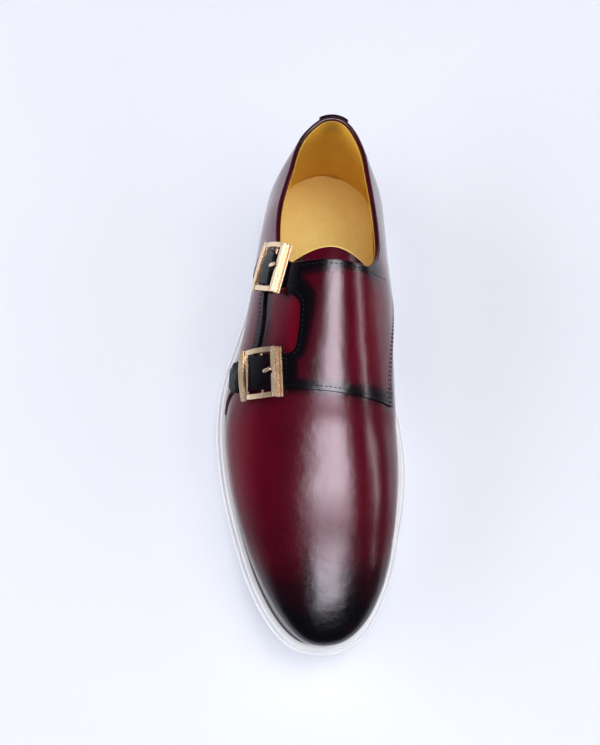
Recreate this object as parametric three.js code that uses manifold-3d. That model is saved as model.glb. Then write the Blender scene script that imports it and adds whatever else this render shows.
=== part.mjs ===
// A double monk strap shoe for the right foot, EU size 43, in millimetres.
// +X is the inner (medial) side, +Y runs from toe to heel, +Z is up. The two buckles are on the
// outer (lateral) side. Lengths along the foot are written as s, measured forward from the heel back.
import * as THREE from "three";
import { mergeVertices } from "three/addons/utils/BufferGeometryUtils.js";
import Module from "manifold-3d";

const wasm = await Module();
wasm.setup();

// ---- driving dimensions -------------------------------------------------------------------
const SOLE_LENGTH = 305;
const HEEL_CENTRE = 38;        // s where the round heel end begins
const TOE_CENTRE = 235;        // s where the round toe end begins
const UPPER_BACK = 6.2;        // s of the heel counter's rearmost point
const UPPER_TIP = 300.3;       // s of the toe cap's foremost point
const LIP = 5.6;               // from the sole's edge in to the upper
const GAP = 0.3;               // clearance between pieces that touch
const CUP_DEPTH = 2;           // how far the upper is let into the sole
const WALL = 1.8;              // vamp leather with its lining
const OVERLAY = 1.2;           // thickness of a quarter or strap laid on the upper
const INSOLE = 4;
const THROAT = 104;            // s of the upper's edge at the instep
const BAND_RINGS = 9;          // rows of the upper from its feather edge to the band's top
const WIDEST_RING = 3;
const HEEL_STEPS = 7;
const SIDE_STEPS = 24;
const TOE_STEPS = 16;
const HEEL_X = 0.8;            // the heel end's middle line
const MIDDLE = 0.5;            // share of the half width that the instep patch covers
const BOW = 10;                // how far the instep patch bows into the toe cap

// The sole's edge: half widths on the two sides.
const SOLE_EDGE = [
  { s: 38, lateral: 38.3, medial: 39.8 },
  { s: 60, lateral: 40.2, medial: 40.5 },
  { s: 85, lateral: 43.0, medial: 41.0 },
  { s: 105, lateral: 46.2, medial: 42.0 },
  { s: 125, lateral: 51.4, medial: 43.5 },
  { s: 145, lateral: 57.0, medial: 45.8 },
  { s: 160, lateral: 59.4, medial: 48.8 },
  { s: 178, lateral: 59.9, medial: 52.8 },
  { s: 198, lateral: 57.8, medial: 54.6 },
  { s: 218, lateral: 53.7, medial: 53.7 },
  { s: 235, lateral: 49.0, medial: 50.9 },
];
const SOLE_ENDS = {
  heel: { x: HEEL_X, length: 38, roundness: { lateral: 1.95, medial: 1.95 }, lean: 0 },
  toe: { x: 3, length: 70, roundness: { lateral: 2.8, medial: 2.5 }, lean: 1.5 },
};

// The sole seen from the side: underside and top of its lip.
const SOLE_SIDE = [
  { s: 0, under: 1.5, top: 30.5 },
  { s: 12, under: 0, top: 30.2 },
  { s: 40, under: 0, top: 29.6 },
  { s: 80, under: 0, top: 27.8 },
  { s: 98, under: 1.8, top: 26.4 },
  { s: 120, under: 3.2, top: 24.6 },
  { s: 140, under: 1.8, top: 23.2 },
  { s: 156, under: 0, top: 22.3 },
  { s: 195, under: 0, top: 21.5 },
  { s: 215, under: 0.1, top: 21.6 },
  { s: 245, under: 1.4, top: 22.6 },
  { s: 275, under: 4.6, top: 25.2 },
  { s: 305, under: 9.4, top: 29 },
];

// Cross sections of the last: widest half widths, the ridge's place, and the heights of both.
// power is the fullness of the curve between them: 2 is an ellipse, more is fuller.
const LAST = [
  { s: 38, lateral: 33.6, medial: 34.6, ridge: 0.8, wide: 47, crown: 109.5, power: 1.4 },
  { s: 60, lateral: 37.0, medial: 36.6, ridge: 0.4, wide: 46, crown: 111, power: 1.5 },
  { s: 82, lateral: 39.8, medial: 37.9, ridge: 0.4, wide: 45, crown: 106.5, power: 1.7 },
  { s: 104, lateral: 41.9, medial: 40.0, ridge: 0.8, wide: 44, crown: 103, power: 1.95 },
  { s: 122, lateral: 44.0, medial: 41.6, ridge: 1.4, wide: 43, crown: 96.5, power: 1.95 },
  { s: 140, lateral: 47.1, medial: 42.9, ridge: 2.0, wide: 41.5, crown: 88.8, power: 1.95 },
  { s: 160, lateral: 51.3, medial: 44.0, ridge: 2.6, wide: 40, crown: 81.2, power: 2.0 },
  { s: 182, lateral: 54.0, medial: 45.2, ridge: 3.0, wide: 38.5, crown: 74, power: 2.1 },
  { s: 203, lateral: 51.7, medial: 46.3, ridge: 3.2, wide: 37.5, crown: 68.4, power: 2.2 },
  { s: 220, lateral: 48.2, medial: 45.9, ridge: 3.2, wide: 37, crown: 64.8, power: 2.3 },
  { s: 235, lateral: 43.8, medial: 44.3, ridge: 3, wide: 37, crown: 62, power: 2.35 },
];
// Ahead of TOE_CENTRE the plan is a round end, and only these go on changing.
const TOE_CAP = [
  { s: 235, wide: 37, crown: 62, power: 2.35 },
  { s: 265, wide: 38, crown: 56, power: 2.4 },
  { s: 305, wide: 40, crown: 49, power: 2.4 },
];
const LAST_ENDS = {
  heel: { x: HEEL_X, length: HEEL_CENTRE - UPPER_BACK, roundness: { lateral: 1.6, medial: 1.6 }, lean: 0 },
  toe: { x: 3, length: UPPER_TIP - TOE_CENTRE, roundness: { lateral: 2.35, medial: 2.35 }, lean: 1 },
};

// Height of the collar's edge; behind HEEL_CENTRE it rises to the back.
const COLLAR = [
  { s: 38, edge: 85.8 },
  { s: 55, edge: 83.2 },
  { s: 74, edge: 82 },
  { s: 87, edge: 84 },
  { s: 96, edge: 88.6 },
  { s: 104, edge: 95 },
];
const COLLAR_BACK = 93.5;
const COLLAR_ENDS = {           // the collar's own round end, fuller than the counter's
  heel: { x: 0.2, length: HEEL_CENTRE - UPPER_BACK, roundness: { lateral: 2.7, medial: 2.4 }, lean: 0 },
};
const BACK_WIDE = 52;          // height of the heel counter's rearmost point
const BACK_LEAN = 2.2;         // how far the back's top leans in over the insole
const BACK_TUCK = 2.6;         // how far its foot draws in

// ---- small helpers ------------------------------------------------------------------------
const place = (x, s, z) => new THREE.Vector3(x, SOLE_LENGTH / 2 - s, z);
const mix = (a, b, t) => a + (b - a) * t;

// A smooth curve through one column of a table of rows that are ordered by s.
function column(table, name) {
  const slope = (i) => {
    const before = table[Math.max(i - 1, 0)];
    const after = table[Math.min(i + 1, table.length - 1)];
    return (after[name] - before[name]) / (after.s - before.s);
  };
  return (s) => {
    const last = table.length - 1;
    if (s <= table[0].s) return table[0][name] + slope(0) * (s - table[0].s);
    if (s >= table[last].s) return table[last][name] + slope(last) * (s - table[last].s);
    const i = table.findIndex((row) => row.s > s) - 1;
    const step = table[i + 1].s - table[i].s;
    const t = (s - table[i].s) / step;
    const rise = table[i + 1][name] - table[i][name];
    const bend0 = slope(i) * step - rise;
    const bend1 = rise - slope(i + 1) * step;
    return table[i][name] + rise * t + t * (1 - t) * (bend0 * (1 - t) + bend1 * t);
  };
}

const undersideCurve = column(SOLE_SIDE, "under");
const underside = (s) => Math.max(undersideCurve(s), 0);
const lipTop = column(SOLE_SIDE, "top");
const PROFILE = [...LAST.slice(0, -1), ...TOE_CAP];
const widestHeight = column(PROFILE, "wide");
const crownHeight = column(PROFILE, "crown");
const fullness = column(PROFILE, "power");
const ridge = column(LAST, "ridge");
const collarHeight = column(COLLAR, "edge");

const SIDES = { lateral: -1, medial: 1 };
const soleWidth = { lateral: column(SOLE_EDGE, "lateral"), medial: column(SOLE_EDGE, "medial") };
const lastWidth = { lateral: column(LAST, "lateral"), medial: column(LAST, "medial") };

// The ribs of the shoe, all the way round: heel back, lateral side, toe, medial side.
// A rib at a round end has a turn, from 0 at its side to 1 at the tip.
function makeRibs() {
  const half = [];
  for (let i = 0; i < HEEL_STEPS; i++) half.push({ end: "heel", turn: 1 - i / HEEL_STEPS });
  for (let i = 0; i <= SIDE_STEPS; i++) {
    half.push({ s: mix(HEEL_CENTRE, TOE_CENTRE, i / SIDE_STEPS) });
  }
  for (let i = 1; i <= TOE_STEPS / 2; i++) half.push({ end: "toe", turn: (2 * i) / TOE_STEPS });
  const lateral = half.map((rib) => ({ ...rib, side: "lateral" }));
  const medial = half.slice(1, -1).map((rib) => ({ ...rib, side: "medial" }));
  return [...lateral, ...medial.reverse()];
}
const RIBS = makeRibs();
const TOE_START = HEEL_STEPS + SIDE_STEPS;

// The unit curve of a round end: across is the share of the half width, ahead that of the length.
function roundEnd(turn, power) {
  const angle = (turn * Math.PI) / 2;
  return {
    across: Math.max(Math.cos(angle), 0) ** (2 / power),
    ahead: Math.sin(angle) ** (2 / power),
  };
}

// Where the outline of a round end is, in the plan. It leaves its side at that side's own slope.
function endOutline(end, ends, width, centre, side, turn) {
  const shape = ends[end];
  const forward = end === "toe" ? 1 : -1;
  const half = width[side](centre) - SIDES[side] * shape.x;
  const slope = width[side](centre) - width[side](centre - forward);
  const { across, ahead } = roundEnd(turn, shape.roundness[side]);
  const reach = half * across + slope * shape.length * ahead * across;
  const x = shape.x + shape.lean * ahead + SIDES[side] * reach;
  return { x, s: centre + forward * shape.length * ahead };
}

function outline(rib, ends, width) {
  if (!rib.end) return { x: SIDES[rib.side] * width[rib.side](rib.s), s: rib.s };
  const centre = rib.end === "toe" ? TOE_CENTRE : HEEL_CENTRE;
  return endOutline(rib.end, ends, width, centre, rib.side, rib.turn);
}

// A closed plan curve moved in by a distance, square to itself.
function inset(curve, distance) {
  return curve.map((point, i) => {
    const before = curve[(i + curve.length - 1) % curve.length];
    const after = curve[(i + 1) % curve.length];
    const dx = after.x - before.x;
    const ds = after.s - before.s;
    const size = Math.hypot(dx, ds);
    return { x: point.x + (ds / size) * distance, s: point.s - (dx / size) * distance };
  });
}

const SOLE_OUTLINE = RIBS.map((rib) => outline(rib, SOLE_ENDS, soleWidth));
const FEATHER = inset(SOLE_OUTLINE, LIP + GAP);

// Turns a list of points and faces into one closed body whose faces point out.
function closedBody(points, faces) {
  const geometry = new THREE.BufferGeometry();
  const flat = points.flatMap((p) => [p.x, p.y, p.z]);
  geometry.setAttribute("position", new THREE.Float32BufferAttribute(flat, 3));
  let volume = 0;
  for (const [a, b, c] of faces) {
    volume += points[a].dot(new THREE.Vector3().crossVectors(points[b], points[c]));
  }
  const outward = volume > 0 ? faces : faces.map(([a, b, c]) => [a, c, b]);
  geometry.setIndex(outward.flat());
  return geometry;
}

const quad = (a, b, c, d) => [[a, b, c], [a, c, d]];

// The edges that only one of the faces has, each in that face's direction.
function openEdges(faces) {
  const edges = new Map();
  for (const face of faces) {
    face.forEach((a, i) => {
      const b = face[(i + 1) % face.length];
      edges.set(`${a} ${b}`, [a, b]);
    });
  }
  return [...edges.values()].filter(([a, b]) => !edges.has(`${b} ${a}`));
}

// Booleans on closed bodies.
function solid(geometry) {
  const bare = geometry.clone();
  for (const name of ["normal", "uv"]) bare.deleteAttribute(name);
  const merged = mergeVertices(bare, 1e-4);
  const mesh = new wasm.Mesh({
    numProp: 3,
    vertProperties: new Float32Array(merged.attributes.position.array),
    triVerts: new Uint32Array(merged.index.array),
  });
  return new wasm.Manifold(mesh);
}

function surface(manifold) {
  const mesh = manifold.getMesh();
  const geometry = new THREE.BufferGeometry();
  geometry.setAttribute("position", new THREE.BufferAttribute(new Float32Array(mesh.vertProperties), 3));
  geometry.setIndex(new THREE.BufferAttribute(new Uint32Array(mesh.triVerts), 1));
  return geometry;
}

// ---- the last's surface -------------------------------------------------------------------
// A point on top of the last. across runs from -1 at the lateral side to 1 at the medial side.
function lastTop(across, s) {
  const side = across < 0 ? "lateral" : "medial";
  let share = Math.abs(across);
  let x = ridge(s) + SIDES[side] * share * (lastWidth[side](s) - SIDES[side] * ridge(s));
  let at = s;
  if (s > TOE_CENTRE) {
    const { length } = LAST_ENDS.toe;
    const ahead = (s - TOE_CENTRE) / length;
    const turn = (Math.atan2(ahead, share) * 2) / Math.PI;
    const edge = endOutline("toe", LAST_ENDS, lastWidth, TOE_CENTRE, side, turn);
    share = Math.hypot(share, ahead);
    x = mix(LAST_ENDS.toe.x, edge.x, share);
    at = mix(TOE_CENTRE, edge.s, share);
  }
  const power = fullness(at);
  const rise = Math.max(1 - share ** power, 0) ** (1 / power);
  return place(x, at, mix(widestHeight(at), crownHeight(at), rise));
}

// The collar's height at a rib.
function edgeHeight(rib) {
  if (rib.end !== "heel") return collarHeight(rib.s);
  const { ahead } = roundEnd(rib.turn, 2);
  return mix(collarHeight(HEEL_CENTRE), COLLAR_BACK, ahead ** 1.6);
}

// How far round the section's curve a height is, from 0 at the widest to a right angle at the crown.
function climbTo(height, s) {
  const share = (height - widestHeight(s)) / (crownHeight(s) - widestHeight(s));
  return Math.asin(Math.min(share, 1) ** (fullness(s) / 2));
}

// One ring point of the wall between the feather edge and the top of the band.
function bandPoint(index, ring) {
  const rib = RIBS[index];
  const side = rib.side;
  const foot = FEATHER[index];
  const footPoint = place(foot.x, foot.s, lipTop(foot.s) - CUP_DEPTH + GAP);
  if (ring === 0) return footPoint;
  if (ring < WIDEST_RING) {
    // Straight up inside the lip, then swelling out to the widest line.
    const start = footPoint.clone().setZ(footPoint.z + CUP_DEPTH + GAP);
    const wide = bandPoint(index, WIDEST_RING);
    const share = (ring - 1) / (WIDEST_RING - 1);
    const out = 1 - (1 - share) ** 2;
    return new THREE.Vector3(
      mix(start.x, wide.x, out), mix(start.y, wide.y, out), mix(start.z, wide.z, share));
  }
  const climb = (ring - WIDEST_RING) / (BAND_RINGS - WIDEST_RING);
  if (rib.end === "toe") {
    const step = side === "lateral" ? rib.turn / 2 : 1 - rib.turn / 2;
    const even = Math.PI * (1 - step);
    const spaced = Math.acos(2 * step - 1);
    const angle = mix(even, spaced, climb);
    const top = Math.acos(MIDDLE ** (fullness(TOE_CENTRE) / 2));
    const reach = Math.cos(top * climb) ** (2 / fullness(TOE_CENTRE));
    const ahead = mix(1, BOW / LAST_ENDS.toe.length, (1 - reach) / (1 - MIDDLE));
    return lastTop(reach * Math.cos(angle), TOE_CENTRE + LAST_ENDS.toe.length * ahead * Math.sin(angle));
  }
  const s = rib.end ? HEEL_CENTRE : rib.s;
  const power = fullness(s);
  const middle = Math.acos(MIDDLE ** (power / 2));
  const top = rib.end || s <= THROAT ? climbTo(edgeHeight(rib), s) : middle;
  const reach = Math.cos(top * climb) ** (2 / power);
  const height = mix(widestHeight(s), crownHeight(s), Math.sin(top * climb) ** (2 / power));
  if (!rib.end) return lastTop(SIDES[side] * reach, s);
  const counter = outline(rib, LAST_ENDS, lastWidth);
  const collar = outline(rib, COLLAR_ENDS, lastWidth);
  const fuller = climb ** 3;
  const edge = { x: mix(counter.x, collar.x, fuller), s: mix(counter.s, collar.s, fuller) };
  const bulge = height > BACK_WIDE
    ? BACK_LEAN * ((height - BACK_WIDE) / (COLLAR_BACK - BACK_WIDE)) ** 2
    : BACK_TUCK * ((BACK_WIDE - height) / (BACK_WIDE - lipTop(0))) ** 2;
  const length = LAST_ENDS.heel.length;
  const ahead = (HEEL_CENTRE - edge.s) / length;
  return place(mix(LAST_ENDS.heel.x, edge.x, reach), HEEL_CENTRE - (length - bulge) * ahead, height);
}

// The instep patch: rows from the throat to the toe cap, which it meets on a bowed line.
function patchPoint(row, step, rows) {
  const along = row / rows;
  const across = (2 * step) / TOE_STEPS - 1;
  const s = mix(PATCH_START, TOE_CENTRE, along) + BOW * along ** 2 * Math.sqrt(1 - across ** 2);
  return lastTop(MIDDLE * across, s);
}

// The grid of the last's outer surface: points, four-sided faces, and its feather edge.
const THROAT_RIB = RIBS.findIndex((rib) => rib.s >= THROAT - 0.5);
const PATCH_START = RIBS[THROAT_RIB].s;
function lastGrid() {
  const points = [];
  const faces = [];
  const count = RIBS.length;
  const ringAt = (index, ring) => ((index + count) % count) * (BAND_RINGS + 1) + ring;
  for (let i = 0; i < count; i++) {
    for (let ring = 0; ring <= BAND_RINGS; ring++) points.push(bandPoint(i, ring));
  }
  for (let i = 0; i < count; i++) {
    for (let ring = 0; ring < BAND_RINGS; ring++) {
      faces.push([ringAt(i, ring), ringAt(i + 1, ring), ringAt(i + 1, ring + 1), ringAt(i, ring + 1)]);
    }
  }
  const rows = TOE_START - THROAT_RIB;
  const patch = [];
  for (let row = 0; row <= rows; row++) {
    const line = [];
    for (let step = 0; step <= TOE_STEPS; step++) {
      if (step === 0) line.push(ringAt(THROAT_RIB + row, BAND_RINGS));
      else if (step === TOE_STEPS) line.push(ringAt(count - THROAT_RIB - row, BAND_RINGS));
      else if (row === rows) line.push(ringAt(TOE_START + step, BAND_RINGS));
      else {
        line.push(points.length);
        points.push(patchPoint(row, step, rows));
      }
    }
    patch.push(line);
  }
  for (let row = 0; row < rows; row++) {
    for (let step = 0; step < TOE_STEPS; step++) {
      faces.push([patch[row][step], patch[row + 1][step], patch[row + 1][step + 1], patch[row][step + 1]]);
    }
  }
  const feather = RIBS.map((_, i) => ringAt(i, 0));
  return { points, faces, feather };
}
const GRID = lastGrid();

// The outward direction at each grid point; at the feather edge it is level.
function gridNormals({ points, faces, feather }) {
  const normals = points.map(() => new THREE.Vector3());
  for (const [a, b, c, d] of faces) {
    const across = points[c].clone().sub(points[a]);
    const along = points[d].clone().sub(points[b]);
    const out = across.cross(along);
    for (const i of [a, b, c, d]) normals[i].add(out);
  }
  for (const i of feather) normals[i].z = 0;
  return normals.map((n) => n.normalize());
}
const NORMALS = gridNormals(GRID);
const TOE_POINT = GRID.feather[TOE_START + TOE_STEPS / 2];
const OUTWARD = NORMALS[TOE_POINT].y < 0 ? 1 : -1;   // the toe's outward direction is -Y

// A shell of the last: the space between two distances outside its surface.
function shell(inner, outer) {
  const count = GRID.points.length;
  const moved = (distance) => GRID.points.map((p, i) =>
    p.clone().addScaledVector(NORMALS[i], OUTWARD * distance));
  const faces = [];
  for (const [a, b, c, d] of GRID.faces) {
    faces.push(...quad(a, b, c, d));
    faces.push(...quad(count + a, count + d, count + c, count + b));
  }
  for (const [a, b] of openEdges(GRID.faces)) faces.push(...quad(b, a, count + a, count + b));
  return closedBody([...moved(outer), ...moved(inner)], faces);
}

// ---- sole, insole and tongue ---------------------------------------------------------------
// The sole's wall from its underside to the cup: how far in each line lies, and its height above
// the underside or above the top of the lip.
const SOLE_WALL = [
  { inset: 4.2, from: "under", rise: 0 },
  { inset: 1.3, from: "under", rise: 1 },
  { inset: 0.4, from: "under", rise: 4 },
  { inset: 0, from: "top", rise: -5.5 },
  { inset: 0, from: "top", rise: -2.5 },
  { inset: 0.5, from: "top", rise: -2 },
  { inset: 1.3, from: "top", rise: -2 },
  { inset: 1.6, from: "top", rise: -3 },
  { inset: 2.3, from: "top", rise: -3 },
  { inset: 2.4, from: "top", rise: -0.5 },
  { inset: 3.0, from: "top", rise: 0 },
  { inset: LIP, from: "top", rise: 0 },
  { inset: LIP, from: "top", rise: -CUP_DEPTH },
];

// A body built up from plan curves that share the ribs, closed below and above by cross strips.
function ringBody(rings) {
  const count = RIBS.length;
  const points = rings.flat();
  const faces = [];
  for (let ring = 0; ring < rings.length - 1; ring++) {
    for (let i = 0; i < count; i++) {
      const next = (i + 1) % count;
      const low = ring * count;
      faces.push(...quad(low + i, low + next, low + count + next, low + count + i));
    }
  }
  const last = (rings.length - 1) * count;
  for (let i = 0; i < count / 2; i++) {
    const far = (count - i) % count;
    for (const [base, up] of [[0, false], [last, true]]) {
      const strip = [base + i, base + i + 1, base + count - i - 1, base + far];
      const corners = strip.filter((corner, k) => strip.indexOf(corner) === k);
      const turned = up ? corners : corners.reverse();
      for (let k = 2; k < turned.length; k++) faces.push([turned[0], turned[k - 1], turned[k]]);
    }
  }
  return closedBody(points, faces);
}

const TREAD_DEPTH = 2;
const TREAD_WIDTH = 2.4;
const TREAD_MARGIN = 8.5;      // plain border left round the tread
const TREAD_RISE = 7;          // how far a chevron's middle runs ahead of its ends
const TREAD = [
  { from: 16, to: 66, pitch: 12 },
  { from: 160, to: 276, pitch: 13 },
];

// One chevron groove across the underside, no nearer to the edge than the margin.
function treadGroove(s) {
  const border = inset(SOLE_OUTLINE, TREAD_MARGIN);
  const reach = (side) => {
    const line = border.filter((point, i) => RIBS[i].side === side);
    const near = line.reduce((best, p) => (Math.abs(p.s - s) < Math.abs(best.s - s) ? p : best));
    return near.x;
  };
  const left = reach("lateral");
  const right = reach("medial");
  const middle = (left + right) / 2;
  const shape = new THREE.Shape([
    [left, s], [middle, s + TREAD_RISE], [right, s],
    [right, s + TREAD_WIDTH], [middle, s + TREAD_RISE + TREAD_WIDTH], [left, s + TREAD_WIDTH],
  ].map(([x, along]) => new THREE.Vector2(x, SOLE_LENGTH / 2 - along)));
  const foot = Math.max(underside(s), underside(s + TREAD_RISE));
  const below = 3;
  const depth = foot + TREAD_DEPTH + below;
  return new THREE.ExtrudeGeometry(shape, { depth, bevelEnabled: false }).translate(0, 0, -below);
}

function makeSole() {
  const heights = { under: underside, top: lipTop };
  const rings = SOLE_WALL.map(({ inset: distance, from, rise }) =>
    inset(SOLE_OUTLINE, distance).map((p) => place(p.x, p.s, heights[from](p.s) + rise)));
  let sole = solid(ringBody(rings));
  for (const { from, to, pitch } of TREAD) {
    for (let s = from; s <= to - TREAD_RISE; s += pitch) sole = sole.subtract(solid(treadGroove(s)));
  }
  return surface(sole);
}

function makeInsole() {
  const edge = inset(SOLE_OUTLINE, LIP + GAP + WALL + 0.5);
  const level = (rise) => edge.map((p) => place(p.x, p.s, lipTop(p.s) - CUP_DEPTH + GAP + rise));
  return ringBody([level(0), level(INSOLE)]);
}

// A sheet of even thickness over a grid of points, each with its outward direction.
function sheet(rows, thickness) {
  const points = rows.flat();
  const count = points.length;
  const width = rows[0].length;
  const cells = [];
  for (let i = 0; i < rows.length - 1; i++) {
    for (let j = 0; j < width - 1; j++) {
      const a = i * width + j;
      cells.push([a, a + 1, a + width + 1, a + width]);
    }
  }
  const faces = cells.flatMap(([a, b, c, d]) => [
    ...quad(a, b, c, d),
    ...quad(count + a, count + d, count + c, count + b),
  ]);
  for (const [a, b] of openEdges(cells)) faces.push(...quad(b, a, count + a, count + b));
  const top = points.map(({ at, out }) => at.clone().addScaledVector(out, thickness));
  return closedBody([...top, ...points.map(({ at }) => at)], faces);
}

// The outward direction of the last at a place on its top.
function lastNormal(across, s) {
  const step = 0.01;
  const alongFoot = lastTop(across, s + 1).sub(lastTop(across, s - 1));
  const acrossFoot = lastTop(across + step, s).sub(lastTop(across - step, s));
  const out = acrossFoot.cross(alongFoot).normalize();
  return out.z < 0 ? out.negate() : out;
}

const TONGUE = {
  top: 96.5, corner: 102.5, end: 152, half: 0.58, under: WALL + 0.8, thickness: 1.4, rows: 6, steps: 8,
};

function makeTongue() {
  const depth = TONGUE.under + TONGUE.thickness;
  const rows = [];
  for (let i = 0; i <= TONGUE.rows; i++) {
    const line = [];
    for (let j = 0; j <= TONGUE.steps; j++) {
      const share = (2 * j) / TONGUE.steps - 1;
      const start = mix(TONGUE.top, TONGUE.corner, share ** 2);
      const s = mix(start, TONGUE.end, i / TONGUE.rows);
      const across = TONGUE.half * share;
      const out = lastNormal(across, s);
      line.push({ at: lastTop(across, s).addScaledVector(out, -depth), out });
    }
    rows.push(line);
  }
  return sheet(rows, TONGUE.thickness);
}

// ---- quarters, straps and heel stay --------------------------------------------------------
// The medial quarter and the flap over the instep, seen from above: the cut between the straps,
// and the flap's front edge.
const STRAP_CUT = [
  { x: -22.5, s: 119.2 },
  { x: -18.6, s: 121.6 },
  { x: -15.8, s: 125.5 },
  { x: -15.4, s: 133 },
  { x: -15.9, s: 142 },
  { x: -17.2, s: 148.6 },
  { x: -20.2, s: 150.9 },
  { x: -24, s: 151.4 },
];
const FLAP_FRONT = [
  { x: -24, s: 169.3 },
  { x: -4.5, s: 169.8 },
  { x: 8.3, s: 170.6 },
  { x: 20, s: 171.5 },
  { x: 31, s: 172 },
  { x: 60, s: 172 },
];
const FLAP_LEFT = -22.5;       // where the upper strap leaves the flap
const BACK_SEAM = 5;           // half the space that the quarters leave at the heel
const BEHIND = -20;            // s of a place clear of the heel, for cutting
const ABOVE = 140;             // height clear of the shoe, for cutting

// The lower edge of the medial quarter and the front edge of the lateral one, seen from the side.
const MEDIAL_SEAM = [
  { s: 172, z: 59.5 },
  { s: 160, z: 62 },
  { s: 146, z: 63.2 },
  { s: 130, z: 62.5 },
  { s: 112, z: 57 },
  { s: 95, z: 45 },
  { s: 82, z: 24 },
];
const QUARTER_FRONT = [
  { s: 97.5, z: 96 },
  { s: 99.5, z: 86 },
  { s: 106, z: 80.5 },
  { s: 115, z: 77.2 },
  { s: 126, z: 75.6 },
  { s: 137, z: 73 },
  { s: 147, z: 69.6 },
  { s: 157, z: 62 },
  { s: 165, z: 49 },
  { s: 170, z: 30 },
  { s: 171, z: 22 },
];

// Prisms that cut overlays out of a shell: outlines in the plan, from the side or from behind.
function planPrism(corners) {
  const shape = new THREE.Shape(corners.map(({ x, s }) => new THREE.Vector2(x, SOLE_LENGTH / 2 - s)));
  return solid(new THREE.ExtrudeGeometry(shape, { depth: ABOVE, bevelEnabled: false }));
}

function sidePrism(corners) {
  const shape = new THREE.Shape(corners.map(({ s, z }) => new THREE.Vector2(SOLE_LENGTH / 2 - s, z)));
  const width = 200;
  const block = new THREE.ExtrudeGeometry(shape, { depth: width, bevelEnabled: false });
  const turn = new THREE.Matrix4().makeBasis(
    new THREE.Vector3(0, 1, 0), new THREE.Vector3(0, 0, 1), new THREE.Vector3(1, 0, 0));
  return solid(block.applyMatrix4(turn).translate(-width / 2, 0, 0));
}

// A run of points through a table's rows, rounded into a curve.
function rounded(rows, first, second, parts) {
  const curve = new THREE.CatmullRomCurve3(
    rows.map((row) => new THREE.Vector3(row[first], row[second], 0)), false, "centripetal");
  return curve.getPoints(parts).map((p) => ({ [first]: p.x, [second]: p.y }));
}

// The line just above the sole's lip, from behind the heel forward to a place.
function lipLine(to) {
  const line = [];
  for (let s = BEHIND; s < to; s += 8) line.push({ s, z: lipTop(s) + GAP });
  return [...line, { s: to, z: lipTop(to) + GAP }];
}

function makeMedialQuarter() {
  const plan = planPrism([
    { x: HEEL_X + BACK_SEAM, s: BEHIND }, { x: HEEL_X + BACK_SEAM, s: 90 }, { x: FLAP_LEFT, s: 90 },
    ...rounded(STRAP_CUT, "x", "s", 18), ...rounded(FLAP_FRONT, "x", "s", 10), { x: 60, s: BEHIND },
  ]);
  const seam = rounded(MEDIAL_SEAM, "s", "z", 14);
  const side = sidePrism([...lipLine(MEDIAL_SEAM.at(-1).s - 0.5), ...seam.reverse().slice(1),
    { s: 173, z: 60 }, { s: 200, z: 60 }, { s: 200, z: ABOVE }, { s: BEHIND, z: ABOVE }]);
  return solid(shell(GAP, GAP + OVERLAY)).intersect(plan).intersect(side);
}

function makeLateralQuarter() {
  const plan = planPrism([
    { x: HEEL_X - BACK_SEAM, s: BEHIND }, { x: HEEL_X - BACK_SEAM, s: 90 },
    { x: FLAP_LEFT - 2 * GAP, s: 90 }, { x: FLAP_LEFT - 2 * GAP, s: 200 },
    { x: -80, s: 200 }, { x: -80, s: BEHIND },
  ]);
  const front = rounded(QUARTER_FRONT, "s", "z", 20).reverse().slice(1);
  const side = sidePrism([...lipLine(170.5), ...front, { s: 97.5, z: ABOVE }, { s: BEHIND, z: ABOVE }]);
  return solid(shell(GAP, GAP + OVERLAY)).intersect(plan).intersect(side);
}

// The heel stay, seen from behind: its half widths, and how far it may reach round the sides.
const STAY = { top: 9.5, foot: 7, reach: 30 };

function makeHeelStay() {
  const shape = new THREE.Shape([
    [-STAY.foot, lipTop(0) + GAP], [STAY.foot, lipTop(0) + GAP], [STAY.top, ABOVE], [-STAY.top, ABOVE],
  ].map(([x, z]) => new THREE.Vector2(HEEL_X + x, z)));
  const block = new THREE.ExtrudeGeometry(shape, { depth: STAY.reach, bevelEnabled: false });
  const turned = block.rotateX(Math.PI / 2).translate(0, SOLE_LENGTH / 2 + 5, 0);
  const over = GAP + OVERLAY + GAP;
  return solid(shell(over, over + OVERLAY)).intersect(solid(turned));
}

// ---- straps and buckles --------------------------------------------------------------------
// A strap and its buckle: where the buckle's middle is on the last, how far its bars are turned
// from the foot's line, and how far the strap runs to either side of the hinge bar.
const STRAPS = [
  { name: "upper", across: -0.696, s: 103.6, turn: -16, lean: 5, start: -17, end: 16 },
  { name: "lower", across: -0.65, s: 160.1, turn: 12, lean: 2, start: -20, end: 18 },
];
const STRAP_WIDTH = 18.4;
const STRAP_THICKNESS = 1.2;
const STRAP_ROWS = 14;
const STRAP_POINT = 6;         // length of its rounded end
const BUCKLE = { long: 27.6, wide: 25.4, bar: 2.8, thick: 2.8, foot: 3.2, corner: 1.2, edge: 0.35 };
const HINGE = { radius: 0.9, height: 4.4 };
const PRONG = { radius: 0.9 };
const TAB = { half: 5.5, width: 15, rise: GAP + OVERLAY + GAP, thickness: 1 };

// The buckle's own directions: out of the leather, along its bars, and down the strap to its tail.
function buckleFrame({ across, s, turn, lean }) {
  const out = lastNormal(across, s);
  const forward = lastTop(across, s + 1).sub(lastTop(across, s - 1));
  const bars = forward.addScaledVector(out, -forward.dot(out)).normalize();
  bars.applyAxisAngle(out, (turn * Math.PI) / 180);
  out.applyAxisAngle(bars, (lean * Math.PI) / 180);
  return { origin: lastTop(across, s), out, bars, tail: new THREE.Vector3().crossVectors(bars, out) };
}

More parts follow.
